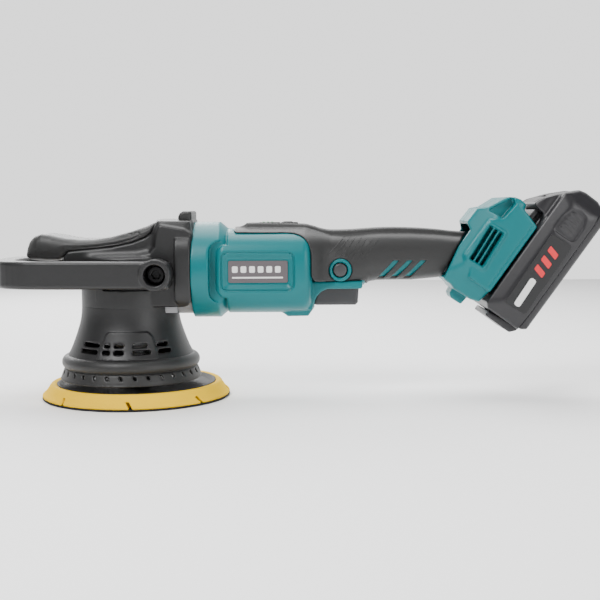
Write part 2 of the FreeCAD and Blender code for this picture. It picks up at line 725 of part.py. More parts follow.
def battery_parts():
    """Slide-on battery pack, drawn in the slanted frame of its seat, and the seat's contacts."""
    top = [(-38, 1), (-30, 4.4), (57, 4.4), (78.6, -8), (79.6, -26), (76, -27.8), (-38, -27.8)]
    room = slab([(-33, 0.5), (54, 0.5), (73, -8), (73, -30), (-33, -30)],
                battery_half_width - wall)
    rails = block((-25, -22, 3), (50, 22, 12.6))
    grooves = [block((-30, -25, 5.4), (60, -18.4, 8.6)), block((-30, 18.4, 5.4), (60, 25, 8.6)),
               block((-30, -14.4, 3.3), (38, -9.6, 14)), block((-30, 9.6, 3.3), (38, 14.4, 14)),
               block((-22, -19, 0), (47, 19, 3.2))]
    latch_room = block((63.8, -13, -16.4), (90, 13, 10))
    shelf = slab([(45, 0), (45, 4), (50, 7.5), (50, 15), (52, 16.5), (58, 14.5), (71, 4), (80, -6),
                  (79, -20), (60, -20)], latch_block_half_width)
    shelf_room = slab([(53, -6), (53, 12), (57, 12), (68.6, 2), (74, -4), (74, -30), (53, -30)],
                      latch_block_half_width - wall)
    sub_part("battery_top_case", seat(less(joined(slab(top, battery_half_width), rails, shelf),
                                           room, shelf_room, *grooves, latch_room)))
    tray = slab([(-36, -28), (73.4, -28), (73.4, -34), (70, -36), (-33, -36), (-36, -33)],
                battery_half_width + 1)
    tray_room = slab([(-33, -26), (70, -26), (70, -33), (-33, -33)], battery_half_width - wall)
    sub_part("battery_bottom_case", seat(less(tray, tray_room)))
    cells = []
    for x in (-22.6, -3.4, 15.8, 35, 54.2):
        cells.append(rod(9.2, 65, (x, -32.5, -17), "Y"))
    sub_part("battery_cells", seat(group(*cells)))
    panels = []
    for side in (-1, 1):
        y = battery_half_width if side > 0 else -(battery_half_width + 0.8)
        panels.append(block((-29, y, -26.4), (56, y + 0.8, 0.6)))
    sub_part("battery_side_panels", seat(group(*panels)))
    sub_part("battery_contacts", seat(group(*[contact_clip(y) for y in (-12, 12)])))
    latch = less(slab([(66.6, 0), (77.4, -7), (78.2, -16), (66.6, -16)], 12.6),
                 block((60, -9, -14.4), (74, 9, -3.4)))
    sub_part("battery_latch", seat(latch))
    sub_part("battery_latch_spring", seat(coil(3, 0.35, 0.9, 4, (64.8, 0, -10), "X")))
    sub_part("terminal_block", seat(block((-20, -20, 15), (34, 20, 22))))
    sub_part("terminal_blades", seat(group(*[block((2, y - 0.5, 9), (30, y + 0.5, 15))
                                             for y in (-12, 12)])))


def contact_clip(y):
    """A sprung contact: two leaves with room for the blade between them."""
    leaves = [block((4, y + side, 3.4), (32, y + side + 1.2, 12)) for side in (-2.2, 1)]
    return joined(*leaves, block((4, y - 2.2, 3.4), (32, y + 2.2, 5)))


# ---------------------------------------------------------------- build, check and write

pad_parts()
guard_parts()
head_parts()
loop_parts()
drive_parts()
head_screws()
motor_parts()
casing_parts()
control_parts()
battery_parts()
doc.recompute()

faults = [thing.Label for thing in doc.Objects
          if "Invalid" in thing.State or "Error" in thing.State]
for thing in SUB_PARTS:
    shape = thing.Shape
    if shape.isNull() or not shape.isValid() or not shape.Solids:
        faults.append(thing.Label)
if faults:
    raise RuntimeError("faulty: " + ", ".join(sorted(set(faults))))

os.makedirs("parts", exist_ok=True)
for old in os.listdir("parts"):
    os.remove(os.path.join("parts", old))
for thing in SUB_PARTS:
    thing.Shape.exportStep(f"parts/{thing.Label}.step")
print(len(SUB_PARTS), "sub-parts written")
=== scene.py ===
# %% [markdown]
# # A cordless dual action polisher
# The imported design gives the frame: every working part is already in its place.  This script makes
# the surfaces that the eye sees.  Moulded casings have soft edges everywhere, scoops that run into
# flat faces and walls that follow each other, and boxes with bevels never get that look.  So each
# moulding is written as a distance formula, and a fine net is drawn where the distance is zero.

# %% Frame
import functools
import math

import bmesh
import bpy
import numpy as np
from mathutils import Matrix, Vector


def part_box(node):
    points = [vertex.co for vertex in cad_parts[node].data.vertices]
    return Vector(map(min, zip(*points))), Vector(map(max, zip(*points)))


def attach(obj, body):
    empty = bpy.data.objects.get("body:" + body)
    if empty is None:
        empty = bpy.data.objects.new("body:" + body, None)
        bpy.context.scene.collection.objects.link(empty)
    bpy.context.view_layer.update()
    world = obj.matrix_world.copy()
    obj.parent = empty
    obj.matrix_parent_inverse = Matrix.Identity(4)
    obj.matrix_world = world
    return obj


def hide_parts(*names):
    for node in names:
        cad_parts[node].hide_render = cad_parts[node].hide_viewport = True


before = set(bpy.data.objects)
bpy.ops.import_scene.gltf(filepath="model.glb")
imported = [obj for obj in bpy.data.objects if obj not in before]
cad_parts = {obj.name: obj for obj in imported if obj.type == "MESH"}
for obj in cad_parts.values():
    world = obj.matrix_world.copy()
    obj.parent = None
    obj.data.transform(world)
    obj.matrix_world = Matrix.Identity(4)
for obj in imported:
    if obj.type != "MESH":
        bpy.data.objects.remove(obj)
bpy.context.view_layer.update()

# %% [markdown]
# ## Camera and room
# Large soft lamps stand over a pale sweep, and a long lens looks from a little above.  The camera
# comes first, so that every later piece is judged in the same view.

# %% Camera
STAND_OFF = 0.83
LENS_MM = 62.47
camera_data = bpy.data.cameras.new("camera")
camera_data.lens = LENS_MM
camera_data.sensor_width = 36.0
camera = bpy.data.objects.new("camera", camera_data)
bpy.context.scene.collection.objects.link(camera)
camera.location = (0.136, -STAND_OFF, 0.1518)
camera.rotation_euler = (math.radians(90 - 5.14), math.radians(0.3), 0)
bpy.context.scene.camera = camera
print("camera", tuple(round(c, 3) for c in camera.location))


# %% Lamps
def lamp(name, place, target, size, power, tint=(1, 1, 1)):
    """A square soft box that faces a point."""
    data = bpy.data.lights.new(name, "AREA")
    data.size = size
    data.energy = power
    data.color = tint
    thing = bpy.data.objects.new(name, data)
    bpy.context.scene.collection.objects.link(thing)
    thing.location = place
    aim = Vector(target) - Vector(place)
    thing.rotation_euler = aim.to_track_quat("-Z", "Y").to_euler()
    return thing


MIDDLE = (0.14, 0.0, 0.1)
lamp("key", (-0.35, -0.75, 0.95), MIDDLE, 0.5, 15)
lamp("fill", (1.0, -0.95, 0.45), MIDDLE, 0.6, 7)
lamp("top", (0.2, 0.25, 1.2), MIDDLE, 0.9, 20)
lamp("rim", (-0.3, 0.9, 0.7), MIDDLE, 0.7, 12)

# %% Room: a white wall behind the object, and a dim studio on the camera's side
WALL_GLOW, STUDIO_GLOW = 1.7, 0.12
world = bpy.data.worlds.new("studio")
world.use_nodes = True
room = world.node_tree
direction = room.nodes.new("ShaderNodeTexCoord")
axes = room.nodes.new("ShaderNodeSeparateXYZ")
glow = room.nodes.new("ShaderNodeMapRange")
glow.interpolation_type = "SMOOTHSTEP"
for name, value in (("From Min", -0.1), ("From Max", 0.75), ("To Min", STUDIO_GLOW),
                    ("To Max", WALL_GLOW)):
    glow.inputs[name].default_value = value
room.links.new(direction.outputs["Generated"], axes.inputs[0])
room.links.new(axes.outputs["Y"], glow.inputs["Value"])
room.links.new(glow.outputs[0], room.nodes["Background"].inputs["Strength"])
room.nodes["Background"].inputs["Color"].default_value = (1, 1, 1, 1)
bpy.context.scene.world = world
print("four soft boxes, a white wall and a dim room")

# %% [markdown]
# ## Finishes
# Each finish starts from the real material: how it was made says how rough it is and what its
# grain is.  One small function adds a node with its settings and its links.


# %% A node with its settings
def linear(hex_colour):
    """An sRGB hex colour as the linear values that a shader takes."""
    channels = [int(hex_colour[i:i + 2], 16) / 255 for i in (1, 3, 5)]
    bent = [c / 12.92 if c <= 0.04045 else ((c + 0.055) / 1.055) ** 2.4 for c in channels]
    return (*bent, 1.0)


def add(material, kind, links=(), **settings):
    """Add one node; links are (input name, node, output name), settings name inputs or properties."""
    tree = material.node_tree
    node = tree.nodes.new(kind)
    for name, value in settings.items():
        socket = node.inputs.get(name.replace("_", " "))
        if socket is None:
            setattr(node, name, value)
        else:
            socket.default_value = value
    for name, source, output in links:
        tree.links.new(source.outputs[output], node.inputs[name])
    return node


# %% Moulded and turned finishes
def finish(name, colour, roughness, grain_mm=0.8, bump=0.05, metal=0.0, mottle=0.06, sheen=0.0,
           coat=0.0, spread=0.06, shine=0.5):
    """A finish with fine grain in its height, a little in its colour and in its gloss."""
    material = bpy.data.materials.new(name)
    material.use_nodes = True
    shader = material.node_tree.nodes["Principled BSDF"]
    shader.inputs["Metallic"].default_value = metal
    shader.inputs["Sheen Weight"].default_value = sheen
    shader.inputs["Coat Weight"].default_value = coat
    shader.inputs["Specular IOR Level"].default_value = shine
    place = add(material, "ShaderNodeTexCoord")
    grain = add(material, "ShaderNodeTexNoise", [("Vector", place, "Object")],
                Scale=1000.0 / grain_mm, Detail=3.0)
    cloud = add(material, "ShaderNodeTexNoise", [("Vector", place, "Object")],
                Scale=45.0, Detail=4.0)
    dark = tuple(c * (1 - mottle) for c in linear(colour)[:3]) + (1,)
    light = tuple(min(1, c * (1 + mottle)) for c in linear(colour)[:3]) + (1,)
    tone = add(material, "ShaderNodeMix", [("Factor", cloud, "Fac")], data_type="RGBA")
    tone.inputs[6].default_value, tone.inputs[7].default_value = dark, light
    gloss = add(material, "ShaderNodeMapRange", [("Value", grain, "Fac")])
    gloss.inputs["To Min"].default_value = max(0.02, roughness - spread)
    gloss.inputs["To Max"].default_value = min(1.0, roughness + spread)
    height = add(material, "ShaderNodeBump", [("Height", grain, "Fac")], Strength=bump,
                 Distance=grain_mm / 2000)
    links = material.node_tree.links
    links.new(tone.outputs[2], shader.inputs["Base Color"])
    links.new(gloss.outputs[0], shader.inputs["Roughness"])
    links.new(height.outputs[0], shader.inputs["Normal"])
    return material


# ABS with spark-eroded texture: an even satin teal with soft highlights
TEAL = finish("ABS moulded teal", "#00666b", 0.36, 0.9, 0.10, mottle=0.03, shine=0.3)
# glass-filled nylon: dark grey, broad dull highlights, a fibrous grain
NYLON = finish("glass-filled nylon", "#161617", 0.45, 0.8, 0.16, mottle=0.08)
# styrene rubber overmould: matt, slightly warm, grippy
RUBBER = finish("overmoulded rubber", "#1b1b1b", 0.5, 0.6, 0.14, mottle=0.06, sheen=0.08)
# battery shell: smoother nylon
SHELL = finish("battery shell nylon", "#1e1d20", 0.38, 0.7, 0.10, mottle=0.05)
SHELL_DARK = finish("battery panel nylon", "#151517", 0.45, 0.7, 0.12, mottle=0.05)
# acetal buttons, a lacquered panel, an anodised badge, and the inks that are printed on plates
GREY = finish("acetal grey", "#343436", 0.4, 0.7, 0.08, mottle=0.04)
GLOSS = finish("gloss polycarbonate", "#0c0c0d", 0.16, 1.2, 0.01, mottle=0.02, coat=0.4)
BADGE = finish("printed metal badge", "#565053", 0.38, 0.5, 0.04, mottle=0.04)
PALE_INK = finish("white printing ink", "#e2e2e0", 0.5, 0.5, 0.03, mottle=0.02)
RED_INK = finish("red printing ink", "#d8232b", 0.5, 0.5, 0.03, mottle=0.04)
# foam scatters light and has no gloss; the hub is matt and the tape's loops swallow light
FOAM = finish("closed cell foam", "#f2c200", 0.8, 0.7, 0.35, mottle=0.06, shine=0.2)
HUB = finish("matt moulded nylon", "#0c0c0c", 0.7, 0.8, 0.1)
HOOK = finish("hook tape nylon", "#0d0d0d", 0.8, 0.9, 0.6, mottle=0.1)
# a cast skin is dull, turned steel is bright, oxide is dark and copper wire is lacquered
CAST = finish("die-cast aluminium", "#9a9a9c", 0.5, 0.6, 0.15, metal=0.35, mottle=0.05)
STEEL = finish("turned steel", "#a9aaad", 0.28, 0.5, 0.05, metal=1.0, mottle=0.04)
BLACK_STEEL = finish("black oxide steel", "#1b1b1c", 0.35, 0.5, 0.05, metal=0.7)
COPPER = finish("enamelled copper", "#b5673a", 0.32, 0.6, 0.1, metal=1.0)
# what is inside: the board's lacquer, clear lenses, nickel on the magnets, sleeves on the cells
BOARD = finish("solder resist green", "#1d5a33", 0.4, 0.8, 0.05)
LENS = finish("clear green lens", "#8fdc9a", 0.2, 1.0, 0.01, coat=0.5)
MAGNET = finish("plated magnet", "#77777b", 0.3, 0.5, 0.03, metal=1.0)
CELL = finish("cell sleeve blue", "#2d5f9b", 0.4, 0.8, 0.03)
print("finishes made:", len(bpy.data.materials))

# %% [markdown]
# ## Distance formulas
# A distance formula gives, for any point, how far it is from a surface: negative inside, positive
# outside.  Shapes join with the smaller distance and cut with the larger, and a rounded minimum
# gives the fillet that a mould has in every corner.  All formulas below are in millimetres.

# %% Joining and cutting
def join(a, b, fillet=0.0):
    """Both shapes, with a fillet where they meet."""
    if fillet <= 0:
        return np.minimum(a, b)
    h = np.clip(0.5 + 0.5 * (b - a) / fillet, 0, 1)
    return b * (1 - h) + a * h - fillet * h * (1 - h)


def both(a, b, edge=0.8):
    """Only what is in both shapes, with a softened edge."""
    return -join(-a, -b, edge)


def cut(a, b, edge=0.8):
    """The first shape without the second."""
    return -join(-a, b, edge)


def meet(*shapes):
    """Only what is in all the shapes, with sharp edges."""
    return functools.reduce(np.maximum, shapes)


def carve(a, b, limit, edge):
    """The first shape without the second, as far in as the limit lets it."""
    return cut(a, meet(b, limit), edge)


def hollow(a, wall):
    """Only the skin of a shape."""
    return np.maximum(a, -(a + wall))


# %% Outlines and slabs
def moved_in(points, inset):
    """A closed outline moved inwards: each side shifts, and neighbours meet again."""
    pts = np.array(points, float)
    if (np.roll(pts[:, 0], -1) * pts[:, 1] - pts[:, 0] * np.roll(pts[:, 1], -1)).sum() > 0:
        pts = pts[::-1]
    sides = np.roll(pts, -1, 0) - pts
    sides /= np.linalg.norm(sides, axis=1)[:, None]
    inward = np.stack([-sides[:, 1], sides[:, 0]], 1)
    moved = []
    for i in range(len(pts)):
        bisector = inward[i - 1] + inward[i]
        moved.append(pts[i] + bisector * inset / max(0.25, 0.5 * bisector @ bisector))
    return np.array(moved)


def nearest_edge(u, v, starts, ends):
    """Distance to the nearest of several straight edges."""
    nearest = np.full(np.shape(u), 1e9)
    for (ax, ay), (bx, by) in zip(starts, ends):
        ex, ey = bx - ax, by - ay
        wx, wy = u - ax, v - ay
        t = np.clip((wx * ex + wy * ey) / (ex * ex + ey * ey), 0, 1)
        nearest = np.minimum(nearest, (wx - ex * t) ** 2 + (wy - ey * t) ** 2)
    return np.sqrt(nearest)


def outline(u, v, points, corner=0.0):
    """Distance to a closed outline in a plane, its corners rounded."""
    pts = moved_in(points, corner) if corner else np.array(points, float)
    following = np.roll(pts, -1, 0)
    inside = np.zeros(np.shape(u), bool)
    for (ax, ay), (bx, by) in zip(pts, following):
        if by != ay:
            crosses = (ay > v) != (by > v)
            inside ^= crosses & (u < (bx - ax) * (v - ay) / (by - ay) + ax)
    distance = nearest_edge(u, v, pts, following)
    return np.where(inside, -distance, distance) - corner


def line(u, v, points):
    """Distance to an open line through points."""
    pts = np.array(points, float)
    return nearest_edge(u, v, pts[:-1], pts[1:])


def round_corner(a, b, radius):
    """Two straight limits that meet in a round corner."""
    return np.minimum(np.maximum(a, b), 0) + np.hypot(np.maximum(a, 0), np.maximum(b, 0)) - radius


def slab(flat, across, half, edge=1.0):
    """A flat distance made a slab of that half thickness, its rims rounded."""
    return round_corner(flat + edge, np.abs(across) - half + edge, edge)


def rect(u, v, cu, cv, half_u, half_v, corner=1.0):
    """Distance to a rectangle with round corners."""
    return round_corner(np.abs(u - cu) - half_u + corner, np.abs(v - cv) - half_v + corner, corner)


def oval(u, v, half_u, half_v, power):
    """Zero on a squarish oval; times a half width it is nearly a distance."""
    return ((np.abs(u) / half_u) ** power + (np.abs(v) / half_v) ** power) ** (1 / power) - 1


def smooth_through(points, steps):
    """More points along a smooth curve through the given ones."""
    p = np.array(points, float)
    p = np.vstack([2 * p[0] - p[1], p, 2 * p[-1] - p[-2]])
    out = []
    for a, b, c, d in zip(p[:-3], p[1:-2], p[2:-1], p[3:]):
        for s in np.arange(steps) / steps:
            out.append(0.5 * (2 * b + (c - a) * s + (2 * a - 5 * b + 4 * c - d) * s ** 2
                              + (3 * b - a - 3 * c + d) * s ** 3))
    out.append(p[-2])
    return np.array(out)


def along(x, points):
    """A height that changes smoothly along a length."""
    curve = smooth_through(points, 8)
    return np.interp(x, curve[:, 0], curve[:, 1])


# %% [markdown]
# ## From a formula to a net
# The net is found cell by cell: where the sign changes along a cell's edges, the cell gets one
# point at the mean of the crossings, and each crossed edge gets one four-sided face.  The points
# then slide down the slope of the distance onto the true surface.

# %% Drawing the net
FINE = 1.0
# the lattice is worked in blocks this many cells wide; far blocks keep one value
BLOCK, REACH = 6, 1.25
# how often the points settle, over what span the slope is read, and the limits of one move
SETTLINGS, NUDGE, LEAST_SLOPE, LONGEST_MOVE = 2, 0.08, 0.05, 0.45


def sample(field, low, high, step):
    """The field on a lattice, worked out only near the surface."""
    axes = [np.arange(a, b + step, step) for a, b in zip(low, high)]
    coarse = [axis[min(BLOCK // 2, len(axis) - 1)::BLOCK] for axis in axes]
    centres = np.meshgrid(*coarse, indexing="ij")
    far = field(*[c.ravel() for c in centres]).reshape(centres[0].shape)
    near = np.abs(far) < BLOCK * step * REACH
    index = [np.minimum(np.arange(len(axis)) // BLOCK, c - 1) for axis, c in zip(axes, far.shape)]
    values = far[np.ix_(*index)]
    i, j, k = np.nonzero(near[np.ix_(*index)])
    values[i, j, k] = field(axes[0][i], axes[1][j], axes[2][k])
    return axes, values


def net(field, low, high, step=0.9):
    """Points and faces of the zero surface."""
    step = step * FINE
    axes, values = sample(field, low, high, step)
    solid = values < 0
    cells = tuple(n - 1 for n in values.shape)
    flat_sum = np.zeros((int(np.prod(cells)), 3))
    flat_count = np.zeros(int(np.prod(cells)))
    crossings = []
    for axis in range(3):
        ahead = [slice(None)] * 3
        here = [slice(None)] * 3
        ahead[axis], here[axis] = slice(1, None), slice(None, -1)
        change = np.array(np.nonzero(solid[tuple(here)] != solid[tuple(ahead)]))
        after = change.copy()
        after[axis] += 1
        a, b = values[tuple(change)], values[tuple(after)]
        point = np.stack([axes[n][change[n]] for n in range(3)], 1)
        point[:, axis] += a / (a - b) * step
        one, two = (axis + 1) % 3, (axis + 2) % 3
        corners = []
        valid = np.ones(change.shape[1], bool)
        for back_one, back_two in ((1, 1), (0, 1), (0, 0), (1, 0)):
            cell = change.copy()
            cell[one] -= back_one
            cell[two] -= back_two
            good = np.all((cell >= 0) & (cell < np.array(cells)[:, None]), axis=0)
            valid &= good
            number = np.ravel_multi_index(np.clip(cell, 0, np.array(cells)[:, None] - 1), cells)
            corners.append(number)
            for n in range(3):
                flat_sum[:, n] += np.bincount(number[good], point[good, n], len(flat_count))
            flat_count += np.bincount(number[good], minlength=len(flat_count))
        crossings.append((np.stack(corners, 1)[valid], solid[tuple(change)][valid]))
    used = np.nonzero(flat_count)[0]
    lookup = np.full(len(flat_count), -1)
    lookup[used] = np.arange(len(used))
    points = flat_sum[used] / flat_count[used][:, None]
    faces = np.vstack([np.where(outward[:, None], quad, quad[:, ::-1])
                       for quad, outward in crossings])
    faces = lookup[faces]
    for _ in range(SETTLINGS):
        points = settle(field, points, step)
    return points, faces


def settle(field, points, step):
    """Slide the points onto the surface along the field's own slope."""
    value = field(*points.T)
    slope = np.empty_like(points)
    for n in range(3):
        ahead, back = points.copy(), points.copy()
        ahead[:, n] += NUDGE
        back[:, n] -= NUDGE
        slope[:, n] = (field(*ahead.T) - field(*back.T)) / (2 * NUDGE)
    size = np.maximum((slope ** 2).sum(1), LEAST_SLOPE)
    move = -slope * (value / size)[:, None]
    length = np.linalg.norm(move, axis=1)
    return points + move * np.minimum(1, LONGEST_MOVE * step / np.maximum(length, 1e-9))[:, None]


# %% Making and naming a piece
def piece(name, points, faces, material, body, nodes=(), smooth=True):
    """A mesh object from points in millimetres; it rides on a body and stands for CAD nodes."""
    mesh = bpy.data.meshes.new(name)
    mesh.from_pydata((np.asarray(points) / 1000.0).tolist(), [],
                     faces.tolist() if hasattr(faces, "tolist") else faces)
    mesh.update()
    mesh.materials.append(material)
    mesh.polygons.foreach_set("use_smooth", [smooth] * len(mesh.polygons))
    thing = bpy.data.objects.new(name, mesh)
    bpy.context.scene.collection.objects.link(thing)
    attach(thing, body)
    if nodes:
        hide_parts(*nodes)
    print(f"{name}: {len(mesh.polygons)} faces")
    return thing


def moulding(name, field, low, high, material, body, nodes=(), step=0.9):
    """A piece whose surface is the zero of a distance formula."""
    points, faces = net(field, low, high, step)
    return piece(name, points, faces, material, body, nodes)


def halves(name, field, low, high, material, nodes, step=0.9, gap=0.12):
    """A left and a right shell that meet at the middle plane with a fine joint line."""
    for side, node in zip((-1, 1), nodes):
        def half(x, y, z, side=side):
            return both(field(x, y, z), gap - side * y, 0.5)
        edges = (low[1], 1.5) if side < 0 else (-1.5, high[1])
        moulding(f"{name}_{'left' if side < 0 else 'right'}", half, (low[0], edges[0], low[2]),
                 (high[0], edges[1], high[2]), material, "root", [node], step)


def turned_out(thing):
    """The same object with every face turned outwards."""
    work = bmesh.new()
    work.from_mesh(thing.data)
    bmesh.ops.recalc_face_normals(work, faces=work.faces)
    work.to_mesh(thing.data)
    work.free()
    return thing


def lathe(name, profile, at, axis, material, body, nodes=(), sides=128):
    """A turned piece: a closed profile of (radius, distance along the axis) swept round."""
    turn = {"Z": Matrix(), "-Y": Matrix.Rotation(math.pi / 2, 4, "X")}[axis]
    points, faces, rings = [], [], []
    for r, h in profile:
        count = sides if r > 1e-6 else 1
        rings.append(range(len(points), len(points) + count))
        for a in (2 * math.pi * i / sides for i in range(count)):
            points.append(tuple(turn @ Vector((r * math.cos(a), r * math.sin(a), h)) + Vector(at)))
    for a, b in zip(rings, rings[1:] + rings[:1]):
        if len(a) == len(b) == 1:
            continue
        for i in range(sides):
            corners = (a[i % len(a)], b[i % len(b)], b[(i + 1) % len(b)], a[(i + 1) % len(a)])
            faces.append(list(dict.fromkeys(corners)))
    return turned_out(piece(name, points, faces, material, body, nodes))


def corner_arc(before, here, after, corner, steps):
    """The points of a small arc in place of a corner."""
    to_before, to_after = before - here, after - here
    long_before, long_after = np.linalg.norm(to_before), np.linalg.norm(to_after)
    reach = min(corner, 0.45 * long_before, 0.45 * long_after)
    start, end = here + to_before / long_before * reach, here + to_after / long_after * reach
    return [(1 - t) ** 2 * start + 2 * t * (1 - t) * here + t * t * end
            for t in np.linspace(0, 1, steps)]


def rounded_profile(points, corner=0.6):
    """A closed profile whose corners are small arcs, apart from those on the axis."""
    pts = np.array(points, float)
    out = []
    for before, here, after in zip(np.roll(pts, 1, 0), pts, np.roll(pts, -1, 0)):
        out += corner_arc(before, here, after, corner, 4) if here[0] > 1e-6 else [here]
    return out


def prism(points, corner, y_foot, y_face, chamfer=0.25, place=None):
    """A flat plate: an outline with round corners, from its foot to a face with a soft rim."""
    pts = np.array(points, float)
    ring = []
    for before, here, after in zip(np.roll(pts, 1, 0), pts, np.roll(pts, -1, 0)):
        ring += corner_arc(before, here, after, corner, 7)
    ring = np.array(ring)
    middle = ring.mean(0)
    step = np.sign(y_face - y_foot) * chamfer
    shrink = ring - middle
    shrink = middle + shrink * (1 - chamfer / np.maximum(np.linalg.norm(shrink, axis=1), 1)[:, None])
    levels = [(ring, y_foot), (ring, y_face - step), (shrink, y_face)]
    vertices = [(u, y, v) for level, y in levels for u, v in level]
    vertices += [(middle[0], y_foot, middle[1]), (middle[0], y_face, middle[1])]
    n = len(ring)
    following = [(i, (i + 1) % n) for i in range(n)]
    faces = [[row + i, row + j, row + n + j, row + n + i] for row in (0, n) for i, j in following]
    for i, j in following:
        faces += [[3 * n, j, i], [3 * n + 1, 2 * n + i, 2 * n + j]]
    vertices = np.array(vertices)
    return (place(vertices) if place else vertices), faces


def plate_piece(name, plates, material, body, nodes):
    """Several flat plates as one object."""
    start, points, faces = 0, [], []
    for p, f in plates:
        points.append(p)
        faces += [[n + start for n in face] for face in f]
        start += len(p)
    return turned_out(piece(name, np.vstack(points), faces, material, body, nodes,
                            smooth=False))


# %% [markdown]
# ## The driving dimensions
# The looks read the same few sizes as the design: the plate's own axis, the motor's height, the
# slanted seat of the battery.

# %% Sizes
MOTOR_Z = 102.3
LOCK_X, LOCK_Z = 167, 102.2
LOCK_AT = (LOCK_X, -18.6, LOCK_Z)
TRIGGER_PIN = (151.6, 90.6)
STRIP_X, SPEED_X = 118.6, 126
PACK_HALF = 37
PLATE_BOX = [v * 1000 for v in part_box("hook_face")]
PLATE_AT = ((PLATE_BOX[0] + PLATE_BOX[1]) / 2).to_tuple()[:2] + (0.0,)
SLANT = math.radians(54.5)
SEAT_X, SEAT_Z = 298.8, 101.0
print("plate axis", PLATE_AT)


def seat_frame(x, z):
    """Distance up the battery's slide, and distance from its seat into the grip."""
    dx, dz = x - SEAT_X, z - SEAT_Z
    return (dx * math.cos(SLANT) + dz * math.sin(SLANT),
            -dx * math.sin(SLANT) + dz * math.cos(SLANT))


# %% [markdown]
# ## The pad under the machine
# A dished nylon hub carries a yellow foam ring, and black hook tape covers the underside.  The foam
# is turned, with eight small notches moulded into its rim.

# %% Foam ring
FOAM_RIM = [(9.5, 1.7), (74.6, 1.7), (75, 2.6), (74.8, 3.4), (73.2, 4.6), (71.6, 6.4), (70, 8.8),
            (68.7, 10.9), (67.6, 12.0), (66, 12.1), (64, 11.7), (59.4, 7), (9.5, 7)]
NOTCHES = 8


def foam_field(x, y, z):
    px, py = x - PLATE_AT[0], y - PLATE_AT[1]
    r = np.hypot(px, py)
    body = outline(r, z, FOAM_RIM)
    pitch = 2 * math.pi / NOTCHES
    angle = np.arctan2(py, px) - math.radians(-41)
    angle = angle - pitch * np.round(angle / pitch)
    notch = meet(np.abs(r * angle + (z - 4) * 0.6) - 1.3, np.abs(z - 4.6) - 2.3, 64.5 - r)
    return cut(body, notch, 0.3)


moulding("foam_ring", foam_field, (-74, -70, 0), (80, 84, 14), FOAM, "plate", ["plate_foam"],
         0.8)

# %% Hub and hook face
hub_profile = rounded_profile([(4.1, 7), (59, 7), (64, 11.9), (62, 12.1), (58.4, 9.8), (50, 8.8),
                               (18, 8.8), (15, 11), (14, 17), (4.1, 17)], 0.8)
lathe("dished_hub", hub_profile, PLATE_AT, "Z", HUB, "plate", ["plate_hub"])
hook_profile = rounded_profile([(0, 0), (74.6, 0), (75.2, 0.8), (74.6, 1.65), (0, 1.65)], 0.4)
lathe("hook_tape", hook_profile, PLATE_AT, "Z", HOOK, "plate", ["hook_face"], 256)

# %% [markdown]
# ## Skirt, bumper ring and guard
# Three black rings hide the spinning counterweight.  The skirt has a row of small breather holes,
# the bumper is a plain rubber torus, and the guard above is a flared funnel with cooling slots and a
# raised panel on each side.

# %% Dust skirt
SKIRT = [(56.2, 16.5), (53.2, 24.6), (51, 26.4), (48.6, 28), (46.4, 28), (46.4, 24), (51, 22.6),
         (54, 16.5)]
HOLES = 32


def skirt_field(x, y, z):
    r = np.hypot(x, y)
    body = outline(r, z, SKIRT, 0.5)
    pitch = 2 * math.pi / HOLES
    angle = np.arctan2(y, x)
    angle = angle - pitch * np.round(angle / pitch)
    hole = np.hypot(r * angle + (z - 22.6) * 0.4, (z - 22.6) * 0.7) - 1.3
    lip = np.abs(np.hypot(r - 55.6, z - 18.2)) - 0.35
    return cut(carve(body, hole, 51 - r, 0.4), lip, 0.3)


moulding("dust_skirt_rubber", skirt_field, (-58, -58, 15), (58, 58, 30), RUBBER, "root",
         ["dust_skirt"], 0.8)

# %% Bumper ring
RING_R, RING_TUBE, RING_Z = 49.0, 5.7, 30.2
ring_profile = [(RING_R + RING_TUBE * math.cos(a), RING_Z + RING_TUBE * math.sin(a))
                for a in np.linspace(0, 2 * math.pi, 33)[:-1]]
lathe("bumper_torus", ring_profile, (0, 0, 0), "Z", RUBBER, "root", ["bumper_ring"],
      192)

# %% Guard with its slots
GUARD = [(50.6, 34.6), (49.2, 36.6), (46.9, 41), (44.3, 47.5), (42, 54), (40, 60.5), (38.9, 66),
         (38.4, 70.5), (38.2, 75)]


def guard_field(x, y, z):
    r = np.hypot(x, y)
    radius = along(z, [(z_, r_) for r_, z_ in GUARD])
    outer = (r - radius) * 0.93
    panel = outline(x, z, [(-19.6, 36), (-12.4, 55.2), (-10.6, 56.6), (18.6, 56.6), (22.4, 53.2),
                           (27.6, 36)], 1.0)
    raised = both(outer - 1.3, panel, 0.5)
    skin = join(outer, raised, 0.3)
    shell = meet(skin, -(outer + 2.2))
    shell = both(shell, meet(34.8 - z, z - 75.2), 0.6)
    for low, top, spans in ((44.9, 48.3, ((-31, -17.6), (-13.6, -9), (-6, 1.6), (8, 19), (24.6, 33))),
                            (39.8, 43.2, ((-33.4, -19), (-15, -9), (-6, 1.6), (8, 21.6),
                                          (26.4, 35.4)))):
        for first, last in spans:
            slot = rect(x, z, (first + last) / 2, (low + top) / 2, (last - first) / 2,
                        (top - low) / 2, 1.4)
            shell = carve(shell, slot, 20 - np.abs(y), 0.5)
    notch = meet(26 - x, 69.4 - z, np.abs(y) - 22.4)
    return cut(shell, notch, 0.5)


moulding("guard", guard_field, (-52, -52, 33), (52, 52, 77), NYLON, "root", ["shroud"],
         0.85)

# %% [markdown]
# ## The head
# The cover is one nylon moulding over the gear case: a round nose, flat flanks, a scoop that opens
# towards the palm grip, and a round band that meets the motor.

